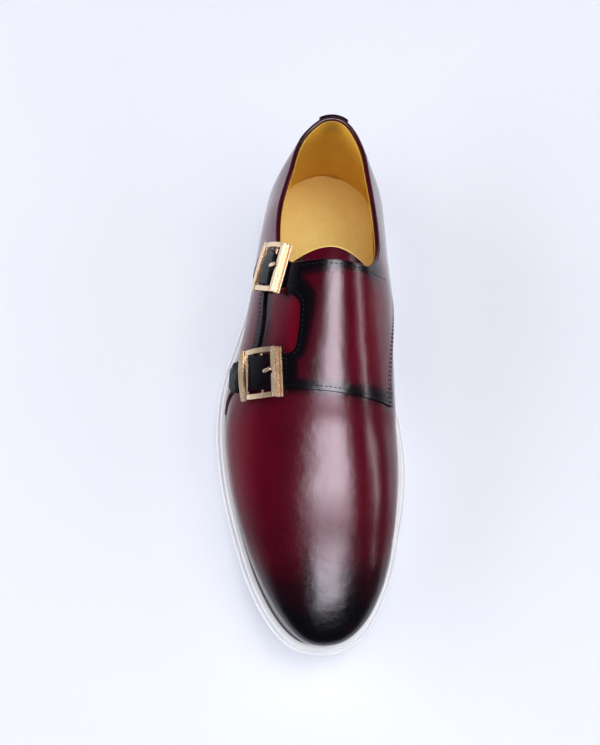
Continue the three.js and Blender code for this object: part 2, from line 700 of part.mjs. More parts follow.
// The point of the leather under a place in the buckle's plane, found by a few Newton steps.
function underBuckle(strap, frame, down, along) {
  let across = strap.across;
  let s = strap.s;
  const offset = (a, b) => {
    const way = lastTop(a, b).sub(frame.origin);
    return [way.dot(frame.tail) - down, way.dot(frame.bars) - along];
  };
  for (let round = 0; round < 12; round++) {
    const [f, g] = offset(across, s);
    const [fa, ga] = offset(across + 0.002, s).map((v, i) => (v - [f, g][i]) / 0.002);
    const [fs, gs] = offset(across, s + 0.2).map((v, i) => (v - [f, g][i]) / 0.2);
    const scale = fa * gs - fs * ga;
    across = THREE.MathUtils.clamp(across - (f * gs - g * fs) / scale, -0.992, 0.9);
    s -= (g * fa - f * ga) / scale;
  }
  return { at: lastTop(across, s), out: lastNormal(across, s) };
}

// How high the strap's underside stands over the last at a distance from the hinge bar.
function strapLift(down) {
  const seat = down < 0 ? GAP + 0.05 : GAP + OVERLAY + GAP;
  const far = THREE.MathUtils.clamp((Math.abs(down) - 3.5) / 7, 0, 1);
  const ease = far * far * (3 - 2 * far);
  return mix(HINGE.height + HINGE.radius + 2 * GAP, seat, ease);
}

function makeStrap(strap) {
  const frame = buckleFrame(strap);
  const roundFrom = strap.end - STRAP_POINT;
  const rows = [];
  for (let i = 0; i <= STRAP_ROWS; i++) {
    const down = mix(strap.start, strap.end, i / STRAP_ROWS);
    const past = Math.max(down - roundFrom, 0) / STRAP_POINT;
    const half = (STRAP_WIDTH / 2) * mix(0.55, 1, Math.sqrt(1 - past ** 2));
    const line = [];
    for (let j = 0; j <= 4; j++) {
      const { at, out } = underBuckle(strap, frame, down, mix(-half, half, j / 4));
      line.push({ at: at.addScaledVector(out, strapLift(down)), out });
    }
    rows.push(line);
  }
  return solid(sheet(rows, STRAP_THICKNESS));
}

// Puts a body made about the buckle's middle, x to the tail, y along the bars, z out, on the shoe.
function onBuckle(geometry, frame) {
  const basis = new THREE.Matrix4().makeBasis(frame.tail, frame.bars, frame.out);
  basis.setPosition(frame.origin);
  return geometry.applyMatrix4(basis);
}

function roundedRectangle(target, width, length, radius) {
  const [w, l] = [width / 2, length / 2];
  target.moveTo(-w + radius, -l);
  target.lineTo(w - radius, -l);
  target.quadraticCurveTo(w, -l, w, -l + radius);
  target.lineTo(w, l - radius);
  target.quadraticCurveTo(w, l, w - radius, l);
  target.lineTo(-w + radius, l);
  target.quadraticCurveTo(-w, l, -w, l - radius);
  target.lineTo(-w, -l + radius);
  target.quadraticCurveTo(-w, -l, -w + radius, -l);
  return target;
}

function makeFrame(frame) {
  const { long, wide, bar, thick, foot, corner, edge } = BUCKLE;
  const shape = roundedRectangle(new THREE.Shape(), wide - 2 * edge, long - 2 * edge, corner);
  shape.holes.push(
    roundedRectangle(new THREE.Path(), wide - 2 * bar + 2 * edge, long - 2 * bar + 2 * edge, 0.8));
  const ring = new THREE.ExtrudeGeometry(shape, {
    depth: thick - 2 * edge, curveSegments: 2, bevelSize: edge, bevelThickness: edge, bevelSegments: 1,
  });
  return onBuckle(ring.translate(0, 0, foot + edge), frame);
}

function makeHingeBar(frame) {
  const length = BUCKLE.long - 2 * BUCKLE.bar - 2 * GAP;
  const bar = new THREE.CylinderGeometry(HINGE.radius, HINGE.radius, length, 12);
  return onBuckle(bar.translate(0, 0, HINGE.height), frame);
}

// The prong lies from the middle of the strap, over it, to the bar on the instep side.
function makeProng(frame) {
  const over = HINGE.height + HINGE.radius + 2 * GAP + STRAP_THICKNESS + PRONG.radius;
  const bar = BUCKLE.foot + BUCKLE.thick + GAP + PRONG.radius;
  const path = new THREE.CatmullRomCurve3([
    new THREE.Vector3(-0.5, 0, over),
    new THREE.Vector3(-5, 0, over + 0.1),
    new THREE.Vector3(-10, 0, bar + 0.45),
    new THREE.Vector3(0.4 - BUCKLE.wide / 2, 0, bar),
  ]);
  const section = new THREE.Shape().absarc(0, 0, PRONG.radius, 0, 2 * Math.PI);
  const rod = new THREE.ExtrudeGeometry(section, { steps: 5, extrudePath: path, curveSegments: 4 });
  return onBuckle(rod, frame);
}

// The short tab that holds the hinge bar, between the quarter and the strap.
function makeTab(strap, frame) {
  const rows = [];
  for (let i = 0; i <= 4; i++) {
    const line = [];
    for (let j = 0; j <= 2; j++) {
      const down = mix(-TAB.half, TAB.half, i / 4);
      const { at, out } = underBuckle(strap, frame, down, mix(-TAB.width / 2, TAB.width / 2, j / 2));
      line.push({ at: at.addScaledVector(out, TAB.rise), out });
    }
    rows.push(line);
  }
  return sheet(rows, TAB.thickness);
}

// ---- the shoe ------------------------------------------------------------------------------
const FINISH = {
  rubber: { color: 0xf2f3f4, roughness: 0.5, metalness: 0 },
  leather: { color: 0x5a0d18, roughness: 0.3, metalness: 0 },
  lining: { color: 0xc9a45a, roughness: 0.6, metalness: 0 },
  gold: { color: 0xe8b98f, roughness: 0.2, metalness: 1 },
};

const shoe = new THREE.Group();
function add(name, finish, geometry) {
  const mesh = new THREE.Mesh(geometry, new THREE.MeshStandardMaterial(FINISH[finish]));
  mesh.name = name;
  shoe.add(mesh);
}

add("sole", "rubber", makeSole());
add("insole", "lining", makeInsole());
add("upper", "leather", shell(-WALL, 0));
add("tongue", "leather", makeTongue());
let flap = makeMedialQuarter();
for (const strap of STRAPS) flap = flap.add(makeStrap(strap));
add("strap_quarter", "leather", surface(flap));
add("lateral_quarter", "leather", surface(makeLateralQuarter()));
add("heel_stay", "leather", surface(makeHeelStay()));
for (const strap of STRAPS) {
  const frame = buckleFrame(strap);
  add(`${strap.name}_buckle`, "gold", makeFrame(frame));
  add(`${strap.name}_hinge_bar`, "gold", makeHingeBar(frame));
  add(`${strap.name}_prong`, "gold", makeProng(frame));
  add(`${strap.name}_buckle_tab`, "leather", makeTab(strap, frame));
}

// The origin is under the middle of the shoe's outline, on the floor.
const box = new THREE.Box3().setFromObject(shoe);
shoe.position.set(-(box.min.x + box.max.x) / 2, -(box.min.y + box.max.y) / 2, -box.min.z);

export default shoe;
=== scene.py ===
import math

import bmesh
import bpy
from mathutils import Matrix, Vector
from mathutils.bvhtree import BVHTree
from mathutils.geometry import interpolate_bezier
from mathutils.interpolate import poly_3d_calc
from mathutils.kdtree import KDTree


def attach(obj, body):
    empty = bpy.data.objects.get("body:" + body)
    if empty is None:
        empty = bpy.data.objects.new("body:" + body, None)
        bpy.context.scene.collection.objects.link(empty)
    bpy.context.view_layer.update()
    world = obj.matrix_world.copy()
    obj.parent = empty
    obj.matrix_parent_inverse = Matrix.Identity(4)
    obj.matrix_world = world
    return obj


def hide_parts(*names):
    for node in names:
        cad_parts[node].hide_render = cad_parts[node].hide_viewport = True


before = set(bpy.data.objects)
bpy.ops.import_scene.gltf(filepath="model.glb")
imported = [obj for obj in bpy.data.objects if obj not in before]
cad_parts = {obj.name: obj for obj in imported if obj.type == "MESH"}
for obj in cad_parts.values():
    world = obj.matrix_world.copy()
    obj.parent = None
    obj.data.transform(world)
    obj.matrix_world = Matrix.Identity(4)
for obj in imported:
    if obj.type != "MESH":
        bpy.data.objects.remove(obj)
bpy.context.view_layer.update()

# A double monk strap shoe for the right foot. Lengths along the foot are written as s, in
# millimetres forward from the heel back; x is measured from the last's middle line towards the
# inner side, and z up from the floor. place() turns these into metres in the shoe's frame.
MM = 0.001
SOLE_LENGTH = 305
LAST_MIDDLE = 2.66             # the last's middle line in the frame, whose zero is the outline's middle


def place(x, s, z):
    return Vector((x + LAST_MIDDLE, SOLE_LENGTH / 2 - s, z)) * MM


def run_of(co):
    """The place along the foot, in millimetres from the heel back."""
    return SOLE_LENGTH / 2 - co.y / MM


def side_of(co):
    """The place across the foot, in millimetres from the last's middle line."""
    return co.x / MM - LAST_MIDDLE


def clamp(value, low=0.0, high=1.0):
    return max(low, min(high, value))


def ease(value, start, end):
    """0 before start, 1 after end, and a smooth rise between them."""
    t = clamp((value - start) / (end - start))
    return t * t * (3 - 2 * t)


def fade(value, start, end):
    """1 before start, 0 after end, and a smooth fall between them."""
    return 1 - ease(value, start, end)


def mean(places):
    return sum(places, Vector()) / len(places)


def curve_through(line, steps):
    """Points along a smooth curve through a run of points, in equal steps from each to the next."""
    curve = []
    for i in range(len(line) - 1):
        before, start = Vector(line[max(i - 1, 0)]), Vector(line[i])
        end, after = Vector(line[i + 1]), Vector(line[min(i + 2, len(line) - 1)])
        handles = start + (end - before) / 6, end - (after - start) / 6
        curve += interpolate_bezier(start, *handles, end, steps + 1)[:-1]
    curve.append(Vector(line[-1]))
    return curve


# ---- camera, floor and light ---------------------------------------------------------------
CAMERA_LENS = 38.66            # focal length in millimetres, over a sensor 36 mm wide
CAMERA_AT = (-34, 297.5, 486)  # x, s and z
CAMERA_HEADING = 2.84          # degrees about z, then the tilt about x and the roll about y
CAMERA_TILT = 18.43
CAMERA_ROLL = -3.6

PLAIN_WHITE = (0.98, 0.98, 1.0)
WALL_WHITE = (0.88, 0.86, 1.0)
PANEL_WHITE = (0.94, 0.89, 1.0)

# The lamps: name, place, the place that it faces, size, level, colour, and whether it shows as a
# reflection. The others only give the plain light.
LAMPS = [
    ("near_panel", (0.24, -0.36, 1.3), (0.24, -0.36, 0.0), (0.5, 0.46), 8.6, PANEL_WHITE, True),
    ("far_panel", (0.2, -0.75, 1.3), (0.2, -0.75, 0.0), (0.38, 0.32), 6.9, PANEL_WHITE, True),
    ("soft_halo", (0.22, -0.5, 1.32), (0.22, -0.5, 0.0), (0.7, 0.86), 2.6, (0.94, 0.87, 1.0), True),
    ("far_strip", (2.0, -0.05, 1.25), (0.0, -0.05, 0.08), (0.26, 1.2), 5.5, (1.0, 0.88, 0.95), True),
    ("left_wall", (-2.5, -0.3, 0.45), (0.0, -0.3, 0.45), (0.9, 3.0), 0.18, WALL_WHITE, True),
    ("left_glow", (-2.6, -0.3, 0.75), (0.0, -0.3, 0.75), (1.5, 3.6), 0.16, WALL_WHITE, True),
    ("key", (0.7, 0.5, 1.9), (0.0, 0.0, 0.0), (1.0, 1.0), 3.2, PLAIN_WHITE, False),
    ("fill", (0.1, -0.2, 2.6), (0.1, -0.2, 0.0), (4.0, 4.0), 1.38, PLAIN_WHITE, False),
    ("side_fill", (-1.6, -0.3, 0.6), (0.0, -0.1, 0.0), (1.2, 2.4), 2.7, PLAIN_WHITE, False),
    ("side_fill", (1.6, -0.3, 0.6), (0.0, -0.1, 0.0), (1.2, 2.4), 1.5, PLAIN_WHITE, False),
]


def make_camera():
    data = bpy.data.cameras.new("camera")
    camera = bpy.data.objects.new("camera", data)
    bpy.context.scene.collection.objects.link(camera)
    bpy.context.scene.camera = camera
    data.lens = CAMERA_LENS
    data.sensor_width = 36
    data.clip_start = 0.02
    data.clip_end = 20
    turn = (Matrix.Rotation(math.radians(CAMERA_HEADING), 3, "Z")
            @ Matrix.Rotation(math.radians(CAMERA_TILT), 3, "X")
            @ Matrix.Rotation(math.radians(CAMERA_ROLL), 3, "Y"))
    camera.matrix_world = Matrix.LocRotScale(place(*CAMERA_AT), turn, None)


def make_light(name, at, aim, size, level, colour, shows):
    """A soft rectangular lamp at a place, facing another; its second side runs heel to toe.

    Its level is how bright its face looks. It shows as a reflection, or it gives the plain light."""
    data = bpy.data.lights.new(name, "AREA")
    data.shape = "RECTANGLE"
    data.size, data.size_y = size
    data.energy = level * math.pi * size[0] * size[1]
    data.color = colour
    lamp = bpy.data.objects.new(name, data)
    bpy.context.scene.collection.objects.link(lamp)
    back = (Vector(at) - Vector(aim)).normalized()
    along = (Vector((0, 1, 0)) - back * back.y).normalized()
    turn = Matrix((along.cross(back), along, back)).transposed()
    lamp.matrix_world = Matrix.LocRotScale(Vector(at), turn, None)
    lamp.visible_glossy = shows
    lamp.visible_diffuse = not shows


def make_room():
    """A dark ceiling over a pale horizon, and the floor."""
    world = bpy.data.worlds.new("studio")
    bpy.context.scene.world = world
    world.use_nodes = True
    tree = world.node_tree
    sky = tree.nodes["Background"]
    coords = tree.nodes.new("ShaderNodeTexCoord")
    split = tree.nodes.new("ShaderNodeSeparateXYZ")
    ramp = tree.nodes.new("ShaderNodeValToRGB")
    tree.links.new(coords.outputs["Generated"], split.inputs[0])
    tree.links.new(split.outputs["Z"], ramp.inputs[0])
    tree.links.new(ramp.outputs["Color"], sky.inputs["Color"])
    paint_ramp(ramp, [(0.0, (0.3, 0.31, 0.36)), (0.1, (0.2, 0.2, 0.25)), (0.3, (0.03, 0.03, 0.04)),
                      (1.0, (0.012, 0.012, 0.016))])

    bm = bmesh.new()
    bmesh.ops.create_grid(bm, x_segments=8, y_segments=8, size=3)
    floor = new_object("floor", bm)
    floor.data.materials.append(floor_paint())


# ---- materials -----------------------------------------------------------------------------
MIX_COLOURS = 6                # a mix node's first colour socket, after those for numbers and vectors
MIX_RESULT = 2


def paint_ramp(ramp, stops):
    elements = ramp.color_ramp.elements
    while len(elements) > 2:
        elements.remove(elements[-1])
    while len(elements) < len(stops):
        elements.new(0.5)
    for element, (at, colour) in zip(elements, stops):
        element.position = at
        element.color = (*colour, 1)


class Paint:
    """A material's node tree, with short ways to add what these finishes share."""

    def __init__(self, name):
        self.material = bpy.data.materials.new(name)
        self.material.use_nodes = True
        self.tree = self.material.node_tree
        self.shader = self.tree.nodes["Principled BSDF"]
        self.coords = self.add("ShaderNodeTexCoord").outputs["Object"]

    def add(self, kind, **inputs):
        node = self.tree.nodes.new(kind)
        self.put_all(node, inputs)
        return node

    def put(self, socket, value):
        if isinstance(value, bpy.types.NodeSocket):
            self.tree.links.new(value, socket)
        else:
            socket.default_value = value

    def put_all(self, node, values):
        for key, value in values.items():
            self.put(node.inputs[key.replace("_", " ")], value)

    def set(self, **values):
        self.put_all(self.shader, values)

    def stretched(self, x, y, z):
        """The piece's own coordinates, packed closer by a number along each way."""
        node = self.add("ShaderNodeMapping", Vector=self.coords)
        node.inputs["Scale"].default_value = (x, y, z)
        return node.outputs[0]

    def noise(self, scale, detail=3.0, roughness=0.5, coords=None):
        node = self.add("ShaderNodeTexNoise", Scale=scale, Detail=detail, Roughness=roughness)
        self.put(node.inputs["Vector"], coords or self.coords)
        return node.outputs["Fac"]

    def cells(self, scale):
        node = self.add("ShaderNodeTexVoronoi", Scale=scale)
        self.put(node.inputs["Vector"], self.coords)
        return node.outputs["Distance"]

    def math(self, operation, first, second):
        node = self.add("ShaderNodeMath")
        node.operation = operation
        self.put(node.inputs[0], first)
        self.put(node.inputs[1], second)
        return node.outputs[0]

    def spread(self, value, low, high, to_low=0.0, to_high=1.0):
        node = self.add("ShaderNodeMapRange", Value=value, From_Min=low, From_Max=high,
                        To_Min=to_low, To_Max=to_high)
        return node.outputs["Result"]

    def ramp(self, value, stops):
        node = self.add("ShaderNodeValToRGB", Fac=value)
        paint_ramp(node, stops)
        return node.outputs["Color"]

    def blend(self, share, first, second):
        node = self.add("ShaderNodeMix")
        node.data_type = "RGBA"
        self.put(node.inputs[0], share)
        self.put(node.inputs[MIX_COLOURS], first)
        self.put(node.inputs[MIX_COLOURS + 1], second)
        return node.outputs[MIX_RESULT]

    def attribute(self, name):
        node = self.add("ShaderNodeAttribute")
        node.attribute_name = name
        return node.outputs["Fac"]

    def bump(self, height, strength, distance, normal=None):
        node = self.add("ShaderNodeBump", Height=height, Strength=strength, Distance=distance)
        if normal:
            self.put(node.inputs["Normal"], normal)
        return node.outputs["Normal"]


def floor_paint():
    paint = Paint("pale_floor")
    mottle = paint.noise(3.0, 4)
    paint.set(Base_Color=paint.ramp(mottle, [(0.3, (0.8, 0.82, 0.895)), (0.7, (0.83, 0.85, 0.92))]))
    paint.set(Roughness=0.6, Specular_IOR_Level=0.3)
    return paint.material


def burgundy_leather():
    """Calf leather, hand-dyed burgundy.

    Each vertex says how far it is burnished towards black, how much brighter red is painted on it as
    light, and how dull it is."""
    paint = Paint("burgundy_leather")
    cloud = paint.noise(26, 4, 0.55)
    brushed = paint.noise(1.0, 3, 0.6, paint.stretched(90, 22, 60))
    mottle = paint.math("ADD", paint.spread(cloud, 0.3, 0.7, -0.12, 0.12),
                        paint.spread(brushed, 0.3, 0.7, -0.07, 0.07))
    burnish = paint.math("ADD", paint.attribute("burnish"), mottle)
    dyed = paint.ramp(burnish, [(0.0, (0.086, 0.0006, 0.009)), (0.3, (0.057, 0.0006, 0.007)),
                                (0.62, (0.014, 0.0013, 0.0038)), (0.95, (0.0022, 0.0019, 0.0031))])
    # Painted light: where the vertices say so, the dye is blended towards a brighter red, as if more light
    # fell there.
    lit_share = paint.math("ADD", paint.attribute("painted_light"), mottle)
    lit = paint.spread(lit_share, 0.1, 1.0, 0, 0.85)
    paint.set(Base_Color=paint.blend(lit, dyed, (0.13, 0.0006, 0.0105, 1)))
    pores = paint.cells(1500)
    grain = paint.noise(900, 5, 0.7)
    creases = paint.noise(240, 3, 0.6)
    waves = paint.noise(75, 2, 0.5)
    matte = paint.attribute("matte")
    shine = paint.spread(grain, 0.3, 0.7, 0.12, 0.2)
    paint.set(Roughness=paint.math("ADD", shine, paint.spread(matte, 0, 1, 0, 0.05)))
    skin = paint.bump(grain, 0.35, 0.0002)
    skin = paint.bump(pores, 0.2, 0.00006, skin)
    skin = paint.bump(creases, 0.3, 0.00022, skin)
    skin = paint.bump(waves, 0.5, 0.0006, skin)
    paint.set(Normal=skin, Coat_Roughness=0.13, Coat_IOR=1.45)
    paint.set(Specular_IOR_Level=paint.spread(matte, 0, 1, 0.5, 0.26))
    paint.set(Coat_Weight=paint.spread(matte, 0, 1, 0.32, 0))
    return paint.material


def edge_ink():
    """The blackened cut edge of the leather."""
    paint = Paint("edge_ink")
    cloud = paint.noise(400)
    paint.set(Base_Color=paint.ramp(cloud, [(0.3, (0.004, 0.002, 0.004)), (0.7, (0.012, 0.004, 0.007))]))
    paint.set(Roughness=0.9, Specular_IOR_Level=0.02)
    return paint.material


def tan_leather(name, pale, deep):
    """Smooth lining leather, with faint fibres and a darker shade where it has been handled."""
    paint = Paint(name)
    cloud = paint.noise(38, 4, 0.6)
    fibres = paint.noise(1.0, 3, 0.6, paint.stretched(900, 260, 900))
    shade = paint.math("ADD", paint.spread(cloud, 0.3, 0.7, 0.2, 0.8),
                       paint.spread(fibres, 0.3, 0.7, -0.25, 0.25))
    hide = paint.ramp(shade, [(0.0, deep), (1.0, pale)])
    paint.set(Base_Color=paint.blend(paint.attribute("scuff"), hide, (0.09, 0.05, 0.03, 1)))
    paint.set(Roughness=0.55, Specular_IOR_Level=0.35)
    paint.set(Normal=paint.bump(fibres, 0.3, 0.0002, paint.bump(paint.cells(1300), 0.2, 0.0001)))
    return paint.material


def white_rubber():
    paint = Paint("white_rubber")
    cloud = paint.noise(22, 3)
    paint.set(Base_Color=paint.ramp(cloud, [(0.3, (0.83, 0.84, 0.87)), (0.7, (0.88, 0.89, 0.92))]))
    grain = paint.noise(1800, 2)
    paint.set(Roughness=paint.spread(cloud, 0.3, 0.7, 0.42, 0.52), Normal=paint.bump(grain, 0.15, 0.0001))
    paint.set(Subsurface_Weight=0.08, Subsurface_Scale=0.002)
    return paint.material


def gold_metal():
    """Pale gold plating, with faint polishing marks."""
    paint = Paint("gold_plating")
    tarnish = paint.noise(150, 4)
    paint.set(Base_Color=paint.ramp(tarnish, [(0.3, (0.86, 0.63, 0.4)), (0.7, (0.93, 0.74, 0.52))]))
    paint.set(Metallic=0.82, Roughness=paint.spread(tarnish, 0.3, 0.7, 0.2, 0.3))
    return paint.material


def dark_thread():
    paint = Paint("dark_thread")
    twist = paint.noise(2600, 2)
    paint.set(Base_Color=paint.ramp(twist, [(0.3, (0.003, 0.002, 0.004)), (0.7, (0.016, 0.01, 0.016))]))
    paint.set(Roughness=0.6, Normal=paint.bump(twist, 0.4, 0.0001), Specular_IOR_Level=0.25)
    return paint.material


# ---- making and finishing pieces -----------------------------------------------------------
def new_object(name, bm):
    """A smooth-shaded object of a bmesh, which is used up."""
    mesh = bpy.data.meshes.new(name)
    bm.to_mesh(mesh)
    bm.free()
    for face in mesh.polygons:
        face.use_smooth = True
    piece = bpy.data.objects.new(name, mesh)
    bpy.context.scene.collection.objects.link(piece)
    return piece


def finish_piece(piece, slot, material, *nodes):
    """Gives a piece its finish, hides the CAD nodes that it stands for, and fixes it to the shoe."""
    piece.data.materials.clear()
    piece.data.materials.append(material)
    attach(piece, "root")
    if nodes:
        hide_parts(*nodes)


def merged(node):
    """A copy of a CAD node's mesh, its shared corners merged."""
    bm = bmesh.new()
    bm.from_mesh(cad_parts[node].data)
    bmesh.ops.remove_doubles(bm, verts=bm.verts, dist=0.005 * MM)
    bm.normal_update()
    return bm


def corners_of(node):
    return [vertex.co.copy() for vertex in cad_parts[node].data.vertices]


def squared(node):
    """A merged copy whose pairs of triangles are four-sided faces again."""
    bm = merged(node)
    bmesh.ops.join_triangles(bm, faces=bm.faces, angle_face_threshold=math.radians(35),
                             angle_shape_threshold=math.radians(75))
    bm.normal_update()
    return bm


def applied(piece):
    """A piece's mesh with its modifiers applied, as a new bmesh; the piece itself goes."""
    bm = bmesh.new()
    shape = piece.evaluated_get(bpy.context.evaluated_depsgraph_get())
    bm.from_mesh(shape.to_mesh())
    shape.to_mesh_clear()
    bpy.data.objects.remove(piece)
    return bm


def add_modifier(piece, kind, **settings):
    modifier = piece.modifiers.new(kind.lower(), kind)
    for key, value in settings.items():
        setattr(modifier, key, value)


def subdivide(piece, levels):
    add_modifier(piece, "SUBSURF", levels=levels, render_levels=levels)


def write_attribute(piece, name, rule):
    """A number at each vertex of the piece's own mesh, from a rule that takes the vertex's place."""
    layer = piece.data.attributes.new(name, "FLOAT", "POINT")
    layer.data.foreach_set("value", [rule(vertex.co) for vertex in piece.data.vertices])


def dye(piece, burnish, painted_light=None, matte=None):
    """Writes how burnished, how brightened by painted light and how dull a leather piece is at each
    vertex; a missing one is zero.
    """
    for name, rule in (("burnish", burnish), ("painted_light", painted_light), ("matte", matte)):
        if rule:
            write_attribute(piece, name, rule)


def crease_corners(bm, soft, hard):
    """Creases edges by how sharply their faces turn: none under soft degrees, full over hard."""
    layer = bm.edges.layers.float.new("crease_edge")
    for edge in bm.edges:
        turn = math.degrees(edge.calc_face_angle(0))
        edge[layer] = clamp((turn - soft) / (hard - soft))


def sharpen(piece, degrees):
    """Marks the piece's sharper edges, so that only the rest shade smooth."""
    bm = bmesh.new()
    bm.from_mesh(piece.data)
    for edge in bm.edges:
        edge.smooth = edge.calc_face_angle(0) < math.radians(degrees)
    bm.to_mesh(piece.data)
    bm.free()


def shade_by_flats(piece):
    """Shades by the larger faces, so that flats stay flat and only the bevels between them turn."""
    mesh = piece.data
    outs = [Vector() for _ in mesh.vertices]
    for face in mesh.polygons:
        for index in face.vertices:
            outs[index] += face.normal * (face.area / MM**2) ** 2
    mesh.normals_split_custom_set([outs[index].normalized() for face in mesh.polygons
                                   for index in face.vertices])


# ---- the last's skin -----------------------------------------------------------------------
RIM_DROP = 1.0                 # how far the edges are drawn in under the rim's bead
RIM_REACH = 9.0                # how far from the rim the drawing in fades out
MEDIAL_SWELL = -0.5            # how far the quarters move across, beside the heel
LATERAL_SWELL = -2.0

# How the straps lie at a buckle, in millimetres over the skin and from the buckle's middle.
STRAP_REACH = 13.0             # the part of the straps that is eased down
STRAP_HALF = 10.5
INSTEP_SEAT = 0.35             # how high the strap's underside is where its arch starts on each side
TAIL_SEAT = 1.8
CAD_ARCH = 5.9                 # how high the CAD strap goes over the hinge bar
INSTEP_ARCH = 4.4              # how high the finished strap starts on the instep's side
INSTEP_FALL = 3.2              # how far it falls from there to the instep bar, and then further
INSTEP_TUCK = 0.85
TAIL_ARCH = 2.6                # how far it goes up over its seat on the tail's side
TAIL_PULL = {"lower_buckle": 4.5, "upper_buckle": 3.2}
TAIL_LIFT = 1.3

# Soft creases of the vamp where the foot bends: a trough's middle, its half length and half width
# in millimetres, its turn from straight across in degrees, and its depth.
CREASES = [
    {"x": 4, "s": 177, "long": 40, "wide": 6, "turn": 2, "deep": 0.55},
    {"x": -14, "s": 209, "long": 30, "wide": 7, "turn": -8, "deep": 0.22},
    {"x": 14, "s": 222, "long": 26, "wide": 8, "turn": 4, "deep": 0.34},
    {"x": 6, "s": 243, "long": 34, "wide": 9, "turn": 0, "deep": 0.4},
    {"x": 10, "s": 150, "long": 22, "wide": 6, "turn": 12, "deep": 0.16},
    {"x": 0, "s": 132, "long": 20, "wide": 7, "turn": -10, "deep": 0.14},
]


def largest_run(bm, degrees):
    """The largest run of faces that meet at less than an angle."""
    left = set(bm.faces)
    groups = []
    while left:
        group = []
        waiting = [left.pop()]
        while waiting:
            face = waiting.pop()
            group.append(face)
            for edge in face.edges:
                if edge.calc_face_angle(math.pi) > math.radians(degrees):
                    continue
                for other in edge.link_faces:
                    if other in left:
                        left.remove(other)
                        waiting.append(other)
        groups.append(group)
    return max(groups, key=lambda group: sum(face.calc_area() for face in group))


def loop_through(bm, start):
    """The open boundary that a vertex is on, as vertices in order."""
    line = [start]
    while True:
        steps = [edge.other_vert(line[-1]) for edge in line[-1].link_edges if edge.is_boundary]
        steps = [vertex for vertex in steps if vertex not in line[-2:]]
        if not steps or (len(line) > 2 and start in steps):
            return line
        line.append(steps[0])


